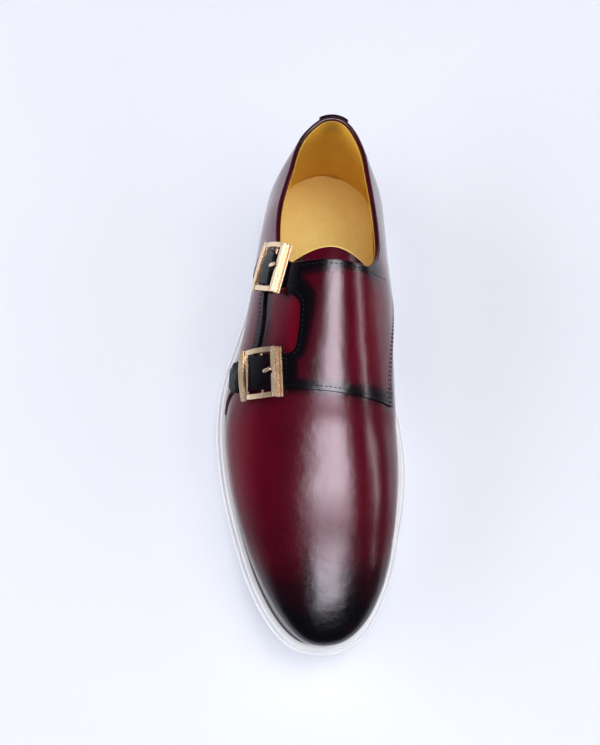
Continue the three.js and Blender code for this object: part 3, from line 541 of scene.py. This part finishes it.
class Skin:
    """The last's smooth outer surface, which every piece of the upper is laid on."""

    def __init__(self):
        rough = squared("upper")
        keep = set(largest_run(rough, 50))
        bmesh.ops.delete(rough, geom=[face for face in rough.faces if face not in keep], context="FACES")
        rough.normal_update()
        self.facets = BVHTree.FromBMesh(rough)
        body = new_object("skin", rough)
        subdivide(body, 2)
        self.bm = applied(body)
        self.bm.normal_update()
        top = max(self.bm.verts, key=lambda vertex: vertex.co.z if vertex.is_boundary else 0)
        rim = loop_through(self.bm, top)
        self.rim_ways = []
        for vertex in rim:
            inner = [edge.other_vert(vertex) for edge in vertex.link_edges if not edge.is_boundary]
            way = sum(((other.co - vertex.co).normalized() for other in inner), Vector())
            self.rim_ways.append(way.normalized())
        self.rim_tree = KDTree(len(rim))
        for index, vertex in enumerate(rim):
            self.rim_tree.insert(vertex.co, index)
        self.rim_tree.balance()
        rim_index = [vertex.index for vertex in rim]
        moves = [self.drawn_in(vertex.co) for vertex in self.bm.verts]
        for vertex, move in zip(self.bm.verts, moves):
            vertex.co += move - vertex.normal * self.dent(vertex.co) * MM
        self.bm.normal_update()
        self.bm.verts.ensure_lookup_table()
        self.bm.faces.ensure_lookup_table()
        self.tree = BVHTree.FromBMesh(self.bm)
        self.rim = [(self.bm.verts[i].co.copy(), self.bm.verts[i].normal.copy()) for i in rim_index]

    def drawn_in(self, co):
        """The move that draws a point near the rim in under the bead, and shifts the quarters.

        Beside the heel the lateral quarter swells out, and the medial one goes in a little."""
        _, index, distance = self.rim_tree.find(co)
        x, s, z = side_of(co), run_of(co), co.z / MM
        full = ease(s, 4, 22) * fade(s, 56, 86) * ease(z, 40, 76)
        swell = full * (MEDIAL_SWELL * ease(x, 0, 16) + LATERAL_SWELL * ease(-x, 0, 16))
        inward = self.rim_ways[index] * RIM_DROP * fade(distance / MM, 0, RIM_REACH)
        return (inward + Vector((swell, 0, 0))) * MM

    @staticmethod
    def dent(co):
        """Depth of the creases at a place, in millimetres."""
        depth = 0
        for crease in CREASES:
            x, s = side_of(co) - crease["x"], run_of(co) - crease["s"]
            turn = math.radians(crease["turn"])
            across = (x * math.cos(turn) + s * math.sin(turn)) / crease["long"]
            along = (s * math.cos(turn) - x * math.sin(turn)) / crease["wide"]
            depth += crease["deep"] * math.exp(-across * across - along * along)
        return depth

    def at(self, co):
        """The nearest point of the skin, and its smooth outward direction."""
        point, _, index, _ = self.tree.find_nearest(co)
        verts = self.bm.faces[index].verts
        shares = poly_3d_calc([vertex.co for vertex in verts], point)
        out = sum((vertex.normal * share for vertex, share in zip(verts, shares)), Vector())
        return point, out.normalized()

    def sheet(self, inner, outer):
        """A closed sheet between two heights over the skin, in millimetres."""
        bm = self.bm.copy()
        for vertex in bm.verts:
            vertex.co += vertex.normal * outer * MM
        body = new_object("sheet", bm)
        add_modifier(body, "SOLIDIFY", thickness=(outer - inner) * MM, offset=-1)
        return applied(body)

    @staticmethod
    def strap_height(co, height):
        """The height of a strap's leather, eased down where it crosses the hinge bar."""
        for at in buckle_ways.values():
            place_on = at.inverted() @ co
            down = place_on.x
            if abs(place_on.y) > STRAP_HALF or abs(down) > STRAP_REACH or not 0.4 < place_on.z < 8:
                continue
            seat = INSTEP_SEAT if down < 0 else TAIL_SEAT
            if height < seat - 0.25:
                continue
            cad_lift = seat + (CAD_ARCH - seat) * fade(abs(down), 3.5, 10.5)
            if down < 0:
                fall = clamp((-down - 2) / 7) ** 1.2
                lift = INSTEP_ARCH - INSTEP_FALL * fall - INSTEP_TUCK * ease(-down, 9, 11.5)
            else:
                lift = seat + TAIL_ARCH * fade(down, 1.5, 10.5)
            return height + lift - cad_lift
        return height

    @staticmethod
    def tail_pull(co):
        """The move that draws a strap's tail out beyond its buckle."""
        for name, at in buckle_ways.items():
            place_on = at.inverted() @ co
            if abs(place_on.y) < 12 and 9 < place_on.x < 24 and -8 < place_on.z < 8:
                pull = Vector((TAIL_PULL[name], 0, TAIL_LIFT))
                return at.to_3x3() @ (pull * ease(place_on.x, 9, 17))
        return Vector()

    def lay(self, node, pitch):
        """A CAD overlay refined to a pitch in millimetres and laid on the smooth skin."""
        bm = merged(node)
        for _ in range(5):
            long = [edge for edge in bm.edges if edge.calc_length() > pitch * MM]
            if not long:
                break
            bmesh.ops.subdivide_edges(bm, edges=long, cuts=1)
            bmesh.ops.triangulate(bm, faces=bm.faces)
        outs = []
        for vertex in bm.verts:
            foot, out, _, _ = self.facets.find_nearest(vertex.co)
            height = (vertex.co - foot).dot(out)
            if node == "strap_quarter":
                height = self.strap_height(vertex.co, height)
            point, out = self.at(vertex.co + self.drawn_in(vertex.co))
            vertex.co = point + out * height
            if node == "strap_quarter":
                vertex.co += self.tail_pull(vertex.co)
            outs.append(out)
        bm.normal_update()
        piece = new_object(node + "_leather", bm)
        sharpen(piece, 40)
        self.smooth_shading(piece, outs)
        return piece

    @staticmethod
    def smooth_shading(piece, outs):
        """Shades the faces that lie along the skin by the skin's own direction."""
        mesh = piece.data
        normals = []
        for face in mesh.polygons:
            for index in face.vertices:
                lies = face.normal.dot(outs[index]) > 0.985
                normals.append(outs[index] if lies else Vector())
        mesh.normals_split_custom_set(normals)


# ---- burnish -------------------------------------------------------------------------------
# The cut between the straps and the flap's front edge, seen from above.
STRAP_CUT = [(-22.5, 119.2), (-18.6, 121.6), (-15.8, 125.5), (-15.4, 133), (-15.9, 142),
             (-17.2, 148.6), (-20.2, 150.9), (-24, 151.4)]
FLAP_FRONT = [(-24, 169.3), (-4.5, 169.8), (8.3, 170.6), (20, 171.5), (31, 172), (41, 172)]
FLAP_TOP = [(-22, 104), (0, 104), (22, 104), (36, 101)]
# The medial quarter's lower edge and the lateral quarter's front edge, seen from the side.
MEDIAL_SEAM = [(172, 59.5), (160, 62), (146, 63.2), (130, 62.5), (112, 57), (95, 45), (82, 24)]
QUARTER_FRONT = [(106, 80.5), (115, 77.2), (126, 75.6), (137, 73), (147, 69.6), (157, 62),
                 (165, 49), (170, 30), (171, 24)]


def polyline_distance(point, line):
    """The distance from a flat point to a run of straight lines."""
    best = 1e9
    for (ax, ay), (bx, by) in zip(line, line[1:]):
        dx, dy = bx - ax, by - ay
        share = clamp(((point[0] - ax) * dx + (point[1] - ay) * dy) / (dx * dx + dy * dy))
        best = min(best, math.hypot(point[0] - ax - dx * share, point[1] - ay - dy * share))
    return best


def toe_burnish(co):
    """Black over the toe, on its flanks and low down along the sole."""
    x, s, z = side_of(co), run_of(co), co.z / MM
    front = ease(s, 225, 305) * 1.15
    flank = ease(abs(x - 4) / 46, 0.8, 1.12) * ease(s, 205, 262) * 0.9
    foot = ease(27 + 0.02 * (s - 190) - z, -9, 2) * 0.5
    return max(front, flank, foot, 0.12 + 0.2 * ease(s, 215, 250))


def vamp_burnish(co):
    """The upper: black at the toe, and along the seams that it passes under."""
    x, s, z = side_of(co), run_of(co), co.z / MM
    under_flap = 0.5 * fade(polyline_distance((x, s), FLAP_FRONT), 0, 6) if s > 165 else 0
    side = QUARTER_FRONT if x < 0 else MEDIAL_SEAM
    beside = 0.75 * fade(polyline_distance((s, z), side), 1, 6) if abs(x) > 26 and s < 176 else 0
    under_cut = 0.9 * fade(polyline_distance((x, s), STRAP_CUT), 0, 4) if 115 < s < 156 else 0
    return max(toe_burnish(co), under_flap, beside, under_cut)


def flap_burnish(co):
    """The strap quarter: black along its edges, and on the straps."""
    x, s, z = side_of(co), run_of(co), co.z / MM
    cut = 1.3 * fade(polyline_distance((x, s), STRAP_CUT), 1.5, 15 - 5 * ease(s, 120, 145))
    front = 1.15 * fade(polyline_distance((x, s), FLAP_FRONT), 0.5, 8 + 5 * ease(abs(x - 4), 8, 30))
    top = 1.2 * fade(polyline_distance((x, s), FLAP_TOP), 1, 14 - 6 * ease(x, -12, 14))
    straps = 1.25 * fade(x, -19, -12)
    seam = 0.8 * fade(polyline_distance((s, z), MEDIAL_SEAM), 0.5, 5) if x > 20 else 0
    heel = 0.55 * fade(s, 4, 34)
    if x > 24:
        top *= fade(x, 24, 34)
    return max(cut, front, top, straps, seam, heel, 0.1 + 0.25 * fade(x, -6, 8))


def quarter_burnish(co):
    """The lateral quarter: black along its front seam, the buckles and the heel."""
    x, s, z = side_of(co), run_of(co), co.z / MM
    seam = 1.2 * fade(polyline_distance((s, z), QUARTER_FRONT), 1, 6) * (1 - 0.85 * ease(s, 148, 160))
    heel = 0.55 * fade(s, 4, 34)
    foot = 0.6 * fade(z, 28, 42) * (1 - 0.6 * ease(s, 130, 155))
    return max(seam, heel, foot, 0.14)


def vamp_painted_light(co):
    """Painted light: brighter red down the vamp's middle beside the highlight and on its lateral flank;
    also brighter red beside the cut between the straps.
    """
    x, s = side_of(co), run_of(co)
    notch = ease(x, -25, -17) * fade(abs(s - 138), 14, 24) * fade(x, -14, -8)
    flank = 0.5 * fade(x, -42, -26) * ease(s, 172, 188) * fade(s, 214, 246)
    vamp = 0.35 * fade(abs(x - 18), 4, 22) * ease(s, 168, 190) * fade(s, 222, 256)
    return max(notch, vamp, flank)


def vamp_matte(co):
    """Duller where the foot bends: under the flap's edge and over the ball."""
    x, s = side_of(co), run_of(co)
    edge = 0.95 * fade(abs(s - 179), 0, 12) * fade(abs(x - 4), 30, 44)
    ball = 0.9 * fade(abs(s - 240), 0, 25)
    flank = 0.8 * ease(-x, 24, 38) * fade(s, 240, 262)
    return max(edge, ball, flank)


def quarter_matte(co):
    """Duller towards the front of the lateral quarter."""
    return 0.8 * ease(run_of(co), 78, 120)


def flap_matte(co):
    """Duller on the straps and between them."""
    x, s = side_of(co), run_of(co)
    return 0.6 * ease(-x, 12, 22) * ease(s, 92, 104)


def flap_painted_light(co):
    """Painted light: brighter red along the inner side of the flap, beside the highlight."""
    x, s = side_of(co), run_of(co)
    return 0.7 * fade(abs(x - 22), 5, 14) * ease(s, 108, 122) * fade(s, 152, 168)


def tongue_burnish(co):
    """Darker towards the tongue's two sides."""
    return 0.15 + 0.8 * ease(abs(side_of(co) + 1), 8, 22)


def tongue_painted_light(co):
    """Painted light: brighter red towards the inner side."""
    return 0.3 * ease(side_of(co), 6, 14)


def back_scuff(co):
    """Rubbed dark where the heel goes in, and a little darker on the heel's inner walls at mid height."""
    x, s, z = side_of(co), run_of(co), co.z / MM
    rub = 0.75 * fade(s, 7, 13) * ease(z, 76, 86) * fade(abs(x), 4, 15)
    wall_darkening = 0.112 * fade(s, 30, 60) * fade(abs(z - 60), 10, 34)
    return max(rub, wall_darkening)


# ---- the shoe's own pieces -----------------------------------------------------------------
# Lengths in millimetres; a sheet's heights are over the skin.
UPPER_SHEET = (-1.0, 0.0)
LINING_SHEET = (-1.8, -1.05)
LAID_PITCH = 2.4               # the longest edge of a piece laid on the skin
INK_ABOVE = 58                 # cut edges are inked above this height
CUT_TURN = 0.9                 # a face is a cut edge where it faces less outward than this
COLLAR_BEAD, THROAT_BEAD = 1.32, 0.68
THROAT_LIFT = 0.9
TAB_BEAD = 1.3
TAB_MIDDLE, TAB_HALF = -8.4, 10.4
TONGUE_END = 48.5              # only the tongue's end corners lie further back in the frame
TRIM_BEAD = 0.42
SOCK_CURL = 1.6                # how far the insole's sides curl up
SOCK_SHIFT = 0.7               # how far they move across


def make_sole():
    """The cup sole, rounded between its sharper corners."""
    bm = squared("sole")
    crease_corners(bm, 48, 88)
    sole = new_object("cup_sole", bm)
    subdivide(sole, 2)
    finish_piece(sole, "rubber", rubber, "sole")


def make_insole():
    """The bare insole: its rim is rounded, and its sides curl up."""
    bm = merged("insole")
    level = [edge for edge in bm.edges if abs(edge.verts[0].co.y - edge.verts[1].co.y) < 9 * MM
             and edge.calc_length() > 12 * MM]
    bmesh.ops.subdivide_edges(bm, edges=level, cuts=9, use_grid_fill=True)
    bm.normal_update()
    rim = [edge for edge in bm.edges if edge.calc_face_angle(0) > math.radians(60)
           and max(vertex.normal.z for vertex in edge.verts) > 0.2]
    bmesh.ops.bevel(bm, geom=rim, offset=1.0 * MM, offset_type="OFFSET", affect="EDGES", segments=3,
                    profile=0.5, material=-1)
    for vertex in bm.verts:
        if vertex.normal.z > 0.5:
            half = 32 + 10 * ease(run_of(vertex.co), 100, 180)
            vertex.co.z += SOCK_CURL * MM * clamp(abs(side_of(vertex.co)) / half) ** 3
            vertex.co.x += SOCK_SHIFT * MM * clamp(side_of(vertex.co) / 20, -1, 1)
    sock = new_object("insole_sock", bm)
    sharpen(sock, 50)
    finish_piece(sock, "lining", sock_leather, "insole")


def make_upper():
    """The vamp with the walls under the quarters, and the lining inside it."""
    upper = new_object("vamp_leather", skin.sheet(*UPPER_SHEET))
    sharpen(upper, 50)
    dye(upper, vamp_burnish, vamp_painted_light, vamp_matte)
    finish_piece(upper, "leather", leather, "upper")
    lining = new_object("lining_leather", skin.sheet(*LINING_SHEET))
    sharpen(lining, 50)
    write_attribute(lining, "scuff", back_scuff)
    finish_piece(lining, "lining", lining_leather)


def make_quarters():
    """The strap quarter, the lateral quarter and the heel stay, laid on the skin."""
    rules = {"strap_quarter": (flap_burnish, flap_painted_light, flap_matte),
             "lateral_quarter": (quarter_burnish, None, quarter_matte),
             "heel_stay": (lambda co: 0.75,)}
    for node, dyes in rules.items():
        piece = skin.lay(node, LAID_PITCH)
        dye(piece, *dyes)
        finish_piece(piece, "leather", leather, node)
        piece.data.materials.append(inked)
        for face in piece.data.polygons:
            out = skin.at(face.center)[1]
            cut = abs(face.normal.dot(out)) < CUT_TURN and face.center.z > INK_ABOVE * MM
            face.material_index = 1 if cut else 0
        laid[node] = piece


def bead(name, points, radii, closed, sides=4):
    """A rolled leather edge: a round bead along a run of points."""
    curve = bpy.data.curves.new(name, "CURVE")
    curve.dimensions = "3D"
    curve.bevel_depth = 1.0
    curve.bevel_resolution = sides
    curve.use_fill_caps = not closed
    line = curve.splines.new("POLY")
    line.points.add(len(points) - 1)
    for point, at, radius in zip(line.points, points, radii):
        point.co = (*at, 1)
        point.radius = radius * MM
    line.use_cyclic_u = closed
    holder = bpy.data.objects.new(name, curve)
    bpy.context.scene.collection.objects.link(holder)
    bm = applied(holder)
    bmesh.ops.remove_doubles(bm, verts=bm.verts, dist=0.001 * MM)
    bmesh.ops.recalc_face_normals(bm, faces=bm.faces)
    return new_object(name, bm)


def make_rim():
    """The rolled edge of the collar and throat, and the folded tab at the heel."""
    points, radii = [], []
    for co, out in skin.rim:
        throat = ease(run_of(co), 93, 102)
        points.append(co + out * MM * (THROAT_LIFT * throat - 0.1))
        radii.append(COLLAR_BEAD + (THROAT_BEAD - COLLAR_BEAD) * throat)
    rim = bead("collar_rim", points, radii, True)
    dye(rim, lambda co: 0.42)
    finish_piece(rim, "leather", leather)
    back = [co for co, out in skin.rim if run_of(co) < 30 and abs(side_of(co) - TAB_MIDDLE) < TAB_HALF]
    back.sort(key=lambda co: co.x)
    points = [co + Vector((0, -0.1, 0.15)) * MM for co in back]
    tab = bead("heel_tab", points, [TAB_BEAD] * len(points), False, 5)
    dye(tab, lambda co: 0.5)
    finish_piece(tab, "leather", leather)


def make_tongue():
    """The tongue, and the light edge of its lining along its end."""
    bm = squared("tongue")
    crease_corners(bm, 40, 90)
    end = [vertex.co.copy() for vertex in bm.verts if vertex.co.y > TONGUE_END * MM]
    edge = sorted(end, key=lambda co: co.x)
    shape = new_object("tongue_shape", bm)
    subdivide(shape, 3)
    tongue = new_object("tongue_leather", applied(shape))
    sharpen(tongue, 50)
    dye(tongue, tongue_burnish, tongue_painted_light)
    finish_piece(tongue, "leather", leather, "tongue")
    middles = [(edge[i] + edge[i + 1]) / 2 for i in range(0, len(edge) - 1, 2)]
    line = [co + Vector((0, 0.25, -0.1)) * MM for co in curve_through(middles, 5)]
    trim = bead("tongue_edge", line, [TRIM_BEAD] * len(line), False)
    finish_piece(trim, "lining", sock_leather)


# ---- buckles -------------------------------------------------------------------------------
# Lengths in millimetres about the buckle's middle: x runs down the strap to its tail, y along the
# bars, z out of the leather. The frame bends with the foot, so its ends lie lower than its middle.
FRAME_FOOT, FRAME_TOP = 3.2, 6.0
BAR_HALF = 13.7                # half length of the instep bar
TAIL_BAR_HALF = 14.1
TAIL_BOW = 1.3                 # how far the tail bar's middle stands out
SIDE_BARS = (10.8, 13.6)       # the side bars' inner and outer faces
SIDE_BOW = 0.25
LUGS = (10.9, 12.6)            # the lugs' inner and outer faces
NOTCH_HALF, NOTCH_DEPTH = 1.5, 1.0
FRAME_BEVEL = 0.35
FRAME_BEND = 2.1               # how far the frame bends down from its middle to its ends
FRAME_HALF = 12.7              # half length of the frame, down the strap
FRAME_LIFT = 0.2
HINGE_HEIGHT = 2.8
HINGE_HALF = 11.2
HINGE_RADIUS, WAIST_RADIUS = 0.8, 0.65
PRONG_REACH = 1.6              # half of the straight part of the prong's tip


def buckle_matrix(node, hinge):
    """Where a buckle is: its middle, and the directions that its frame and hinge bar give."""
    ends = corners_of(hinge)
    centre = mean(ends)
    far = max(ends, key=lambda co: (co - centre).length) - centre
    bars = mean([co for co in ends if (co - centre).dot(far) > 0]) - centre
    bars = bars.normalized() * (-1 if bars.y > 0 else 1)
    corners = corners_of(node)
    level = Vector((0, 0, 1)).cross(bars).normalized()
    upright = bars.cross(level)
    ways = [level * math.sin(math.radians(0.5 * i)) + upright * math.cos(math.radians(0.5 * i))
            for i in range(-180, 180)]

    def span(way):
        reach = [corner.dot(way) for corner in corners]
        return max(reach) - min(reach)

    out = min(ways, key=span)
    out *= -1 if out.z < 0 else 1
    tail = bars.cross(out)
    middle = Vector()
    for way in (tail, bars, out):
        reach = [corner.dot(way) for corner in corners]
        middle += way * (max(reach) + min(reach)) / 2
    turn = Matrix((tail, bars, out)).transposed()
    height = (FRAME_FOOT + FRAME_TOP) / 2 * MM
    return Matrix.LocRotScale(middle - out * height, turn, (MM, MM, MM))


def add_block(bm, low, high, parts=1, move=None):
    """Adds a box between two corners, in equal parts along its longest side.

    A rule may then move each of its points."""
    box = bmesh.new()
    bmesh.ops.create_cube(box, size=1)
    size = Vector(high) - Vector(low)
    bmesh.ops.scale(box, vec=size, verts=box.verts)
    bmesh.ops.translate(box, vec=Vector(low) + size / 2, verts=box.verts)
    if parts > 1:
        along = [edge for edge in box.edges if edge.calc_length() > 0.99 * max(size)]
        bmesh.ops.subdivide_edges(box, edges=along, cuts=parts - 1)
    if move:
        for vertex in box.verts:
            move(vertex.co)
    shape = bpy.data.meshes.new("block")
    box.to_mesh(shape)
    box.free()
    bm.from_mesh(shape)
    bpy.data.meshes.remove(shape)


def bend(x):
    """How far the bent frame is lowered at a distance down the strap from its middle."""
    return FRAME_BEND * (x / FRAME_HALF) ** 2 - FRAME_LIFT


def notch(co):
    """The notch for the prong, in the instep bar's edge towards the hinge."""
    if co.x > -8 and abs(co.y) < NOTCH_HALF:
        co.x -= NOTCH_DEPTH * (1 - (co.y / NOTCH_HALF) ** 2)


def arch(co):
    """Bends a side bar down at its ends, and bows it out at its middle."""
    co.y += math.copysign(SIDE_BOW, co.y) * (1 - (co.x / 9) ** 2)
    co.z -= bend(co.x)


def bow(co):
    """Bows the tail bar out at its middle."""
    co.x += TAIL_BOW * (1 - (co.y / BAR_HALF) ** 2)


def make_buckle(name, at):
    """A buckle's frame, built up from bars that run into each other."""
    bm = bmesh.new()
    # The instep bar: its face, with a notch for the prong, over a stepped wall.
    low = bend(-8.5)
    add_block(bm, (-10, -BAR_HALF, 4.2 - low), (-7.1, BAR_HALF, FRAME_TOP - low), 40, notch)
    add_block(bm, (-9.6, 0.4 - BAR_HALF, 1.2 - low), (-7.8, BAR_HALF - 0.4, 4.4 - low))
    add_block(bm, (-10.8, -BAR_HALF, 2.75 - low), (-8.2, BAR_HALF, 3.6 - low))
    add_block(bm, (-11.8, -BAR_HALF, 1.2 - low), (-8.2, BAR_HALF, 2.2 - low))
    # The side bars, arched over the strap, and a rail between them at the tail.
    inner, outer = SIDE_BARS
    add_block(bm, (-8, -outer, 4.0), (9.4, -inner, FRAME_TOP), 14, arch)
    add_block(bm, (-8, inner, 4.0), (9.4, outer, FRAME_TOP), 14, arch)
    low = bend(11.5)
    add_block(bm, (8.8, -12.4, 3.9 - low), (10.6, 12.4, 5.0 - low), 20)
    # The bowed tail bar, a little higher than the rest.
    add_block(bm, (10.0, -TAIL_BAR_HALF, 4.1 - low), (13.2, TAIL_BAR_HALF, FRAME_TOP + 0.5 - low), 20, bow)
    edges = [edge for edge in bm.edges if edge.calc_face_angle(0) > math.radians(40)]
    bmesh.ops.bevel(bm, geom=edges, offset=FRAME_BEVEL, offset_type="OFFSET", affect="EDGES", segments=3,
                    profile=0.5, material=-1)
    # Lugs at the middle of the side bars carry the hinge bar.
    inner, outer = LUGS
    add_block(bm, (-1.3, -outer, 1.9), (1.3, -inner, 4.6))
    add_block(bm, (-1.3, inner, 1.9), (1.3, outer, 4.6))
    bm.transform(at)
    piece = new_object(name + "_frame", bm)
    shade_by_flats(piece)
    finish_piece(piece, "gold", gold, name)


def make_hinge(name, at):
    """The hinge bar across the frame, waisted where the prong turns on it."""
    bm = bmesh.new()
    half_profile = [(HINGE_RADIUS, 1.6), (HINGE_RADIUS, HINGE_HALF), (0, HINGE_HALF)]
    waist = [(WAIST_RADIUS, -1.3), (WAIST_RADIUS, 1.3)]
    profile = [(radius, -y) for radius, y in reversed(half_profile)] + waist + half_profile
    line = [bm.verts.new((radius, y, 0)) for radius, y in profile]
    edges = [bm.edges.new(pair) for pair in zip(line, line[1:])]
    bmesh.ops.spin(bm, geom=edges + line, axis=(0, 1, 0), cent=(0, 0, 0), angle=2 * math.pi, steps=20,
                   use_merge=True)
    bmesh.ops.remove_doubles(bm, verts=bm.verts, dist=0.001)
    bmesh.ops.recalc_face_normals(bm, faces=bm.faces)
    bm.transform(at @ Matrix.Translation((0, 0, HINGE_HEIGHT)))
    piece = new_object(name + "_hinge", bm)
    sharpen(piece, 40)
    finish_piece(piece, "gold", gold, name.replace("buckle", "hinge_bar"))


def make_prong(name, at):
    """The prong's rounded tip, out of the strap's hole and into the instep bar's notch."""
    tip = bmesh.new()
    bmesh.ops.create_uvsphere(tip, u_segments=20, v_segments=12, radius=1)
    for vertex in tip.verts:
        vertex.co.x += PRONG_REACH if vertex.co.x > 0 else -PRONG_REACH
    bmesh.ops.scale(tip, vec=(1, 1.1, 0.8), verts=tip.verts)
    lie = Matrix.Rotation(math.radians(-6), 4, "Y") @ Matrix.Rotation(math.radians(16), 4, "Z")
    tip.transform(at @ Matrix.Translation((-5.3, -0.9, 6.1)) @ lie)
    piece = new_object(name.replace("buckle", "prong_tip"), tip)
    finish_piece(piece, "gold", gold, name.replace("buckle", "prong"))
    # A flat black disc stands for the strap's hole: painted shade of the hole's depth, with its inked cut
    # edge.
    hole = bmesh.new()
    bmesh.ops.create_uvsphere(hole, u_segments=20, v_segments=10, radius=1)
    hole.transform(at @ Matrix.LocRotScale(Vector((-2.7, 0, 5.5)), None, Vector((1.5, 1.4, 0.25))))
    rim = new_object(name.replace("buckle", "strap_hole_shade"), hole)
    finish_piece(rim, "leather", inked)


# ---- stitching -----------------------------------------------------------------------------
def beside(line, distance):
    """A flat run of points moved sideways; positive is to the left of its direction."""
    moved = []
    for i, point in enumerate(line):
        way = Vector(line[min(i + 1, len(line) - 1)]) - Vector(line[max(i - 1, 0)])
        way.normalize()
        moved.append((point[0] - way.y * distance, point[1] + way.x * distance))
    return moved


STITCH_PITCH = 2.5
STITCH = (1.9, 0.3)            # a stitch's length and half its thickness
FINE_STITCH = (1.7, 0.2)       # those of the lateral quarter
TACK_STITCH = (2.2, 0.35)      # the three that hold the tongue
TACKS = [(4.6, 98.9), (7.4, 98.9), (10.2, 98.9)]
SEAM_INSETS = (1.9, 3.7)       # the two rows of a quarter's seam, in from its edge
LATERAL_SEAM_END = 156         # the lateral quarter's rows end at this s
STAY_SEAM = [(5.6, 34), (7.8, 90)]   # out from the heel stay's middle, and up
STAY_MIDDLE = 0.8
# Seams seen from above: along the straps' cut, the flap's top and its front edge, across the root of
# each strap, along the lower strap, and two rows round the flap's inner corner.
PLAN_SEAMS = [
    beside(STRAP_CUT[1:-1], -1.7),
    [(-20, 106.8), (-4, 106.8), (12, 106.8), (26, 106.2), (34, 103.6)],
    [(-27, 167.2), (-4.5, 167.8), (8.3, 168.6), (20, 169.5), (31, 170), (39, 170)],
    [(-19.8, 108.5), (-20.4, 113), (-21, 118)],
    [(-21.5, 153.6), (-21.2, 160), (-21.2, 166)],
    [(-30, 153.6), (-26, 153.4), (-22, 153.3)],
    [(38.5, 161), (35, 166.5), (30, 169.6)],
    [(40.5, 162.5), (37, 167.5), (33.5, 169.9)],
]


def smooth_run(line, pitch):
    """Evenly spaced flat points along a curve through a run of points."""
    fine = curve_through(line, 20)
    points, left = [fine[0]], pitch
    for start, end in zip(fine, fine[1:]):
        length = (end - start).length
        while length >= left:
            start = start.lerp(end, left / length)
            points.append(start)
            length -= left
            left = pitch
        left -= length
    return points


def from_above(tree, x, s):
    """Where a line down from above meets a piece, and the way that it faces there."""
    return tree.ray_cast(place(x, s, 150), Vector((0, 0, -1)))[:2]


def from_side(tree, side, s, z):
    """The same from the lateral side, -1, or from the medial side, 1."""
    return tree.ray_cast(place(side * 120, s, z), Vector((-side, 0, 0)))[:2]


def from_behind(tree, x, z):
    """The same from behind the heel."""
    return tree.ray_cast(place(x, -40, z), Vector((0, -1, 0)))[:2]


def sew(bm, hits, stitch=STITCH):
    """Adds one stitch at each point of a seam, along the seam and just proud of the leather."""
    length, thick = stitch
    hits = [pair for pair in hits if pair[0] is not None]
    for i, (at, out) in enumerate(hits):
        way = hits[min(i + 1, len(hits) - 1)][0] - hits[max(i - 1, 0)][0]
        if not 0.5 * MM < way.length < 9 * MM:
            continue
        way.normalize()
        across = out.cross(way).normalized()
        turn = Matrix((way, across, way.cross(across))).transposed()
        where = Matrix.LocRotScale(at + out * 0.05 * MM, turn, Vector((length / 2, thick, thick)) * MM)
        bmesh.ops.create_icosphere(bm, subdivisions=1, radius=1, matrix=where)


def make_stitching():
    """All the stitches, as one piece."""
    graph = bpy.context.evaluated_depsgraph_get()
    flap = BVHTree.FromObject(laid["strap_quarter"], graph)
    quarter = BVHTree.FromObject(laid["lateral_quarter"], graph)
    stay = BVHTree.FromObject(laid["heel_stay"], graph)
    bm = bmesh.new()
    for seam in PLAN_SEAMS:
        sew(bm, [from_above(flap, *point) for point in smooth_run(seam, STITCH_PITCH)])
    for inset in SEAM_INSETS:
        seam = smooth_run(beside(MEDIAL_SEAM, -inset), STITCH_PITCH)
        sew(bm, [from_side(flap, 1, *point) for point in seam])
        seam = smooth_run(beside(QUARTER_FRONT, -inset), STITCH_PITCH)
        sew(bm, [from_side(quarter, -1, s, z) for s, z in seam if s < LATERAL_SEAM_END], FINE_STITCH)
    for side in (-1, 1):
        seam = [(STAY_MIDDLE + side * x, z) for x, z in STAY_SEAM]
        sew(bm, [from_behind(stay, *point) for point in smooth_run(seam, STITCH_PITCH)])
    tongue = BVHTree.FromObject(bpy.data.objects["tongue_leather"], graph)
    sew(bm, [from_above(tongue, *point) for point in TACKS], TACK_STITCH)
    piece = new_object("stitching", bm)
    finish_piece(piece, "leather", thread)


# ---- the whole shoe ------------------------------------------------------------------------
leather = burgundy_leather()
lining_leather = tan_leather("lining_leather", (0.97, 0.62, 0.09), (0.82, 0.45, 0.045))
sock_leather = tan_leather("sock_leather", (1.0, 0.78, 0.27), (0.92, 0.65, 0.18))
rubber = white_rubber()
gold = gold_metal()
thread = dark_thread()
inked = edge_ink()

bpy.context.scene.view_settings.view_transform = "Standard"
make_camera()
make_room()
for lamp in LAMPS:
    make_light(*lamp)

buckle_ways = {name: buckle_matrix(name, name.replace("buckle", "hinge_bar"))
               for name in ("upper_buckle", "lower_buckle")}
skin = Skin()
laid = {}
make_sole()
make_insole()
make_upper()
make_tongue()
make_quarters()
make_rim()
for buckle, where in buckle_ways.items():
    make_buckle(buckle, where)
    make_hinge(buckle, where)
    make_prong(buckle, where)
    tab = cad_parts[buckle + "_tab"]
    tab.data.materials.clear()
    tab.data.materials.append(leather)
make_stitching()
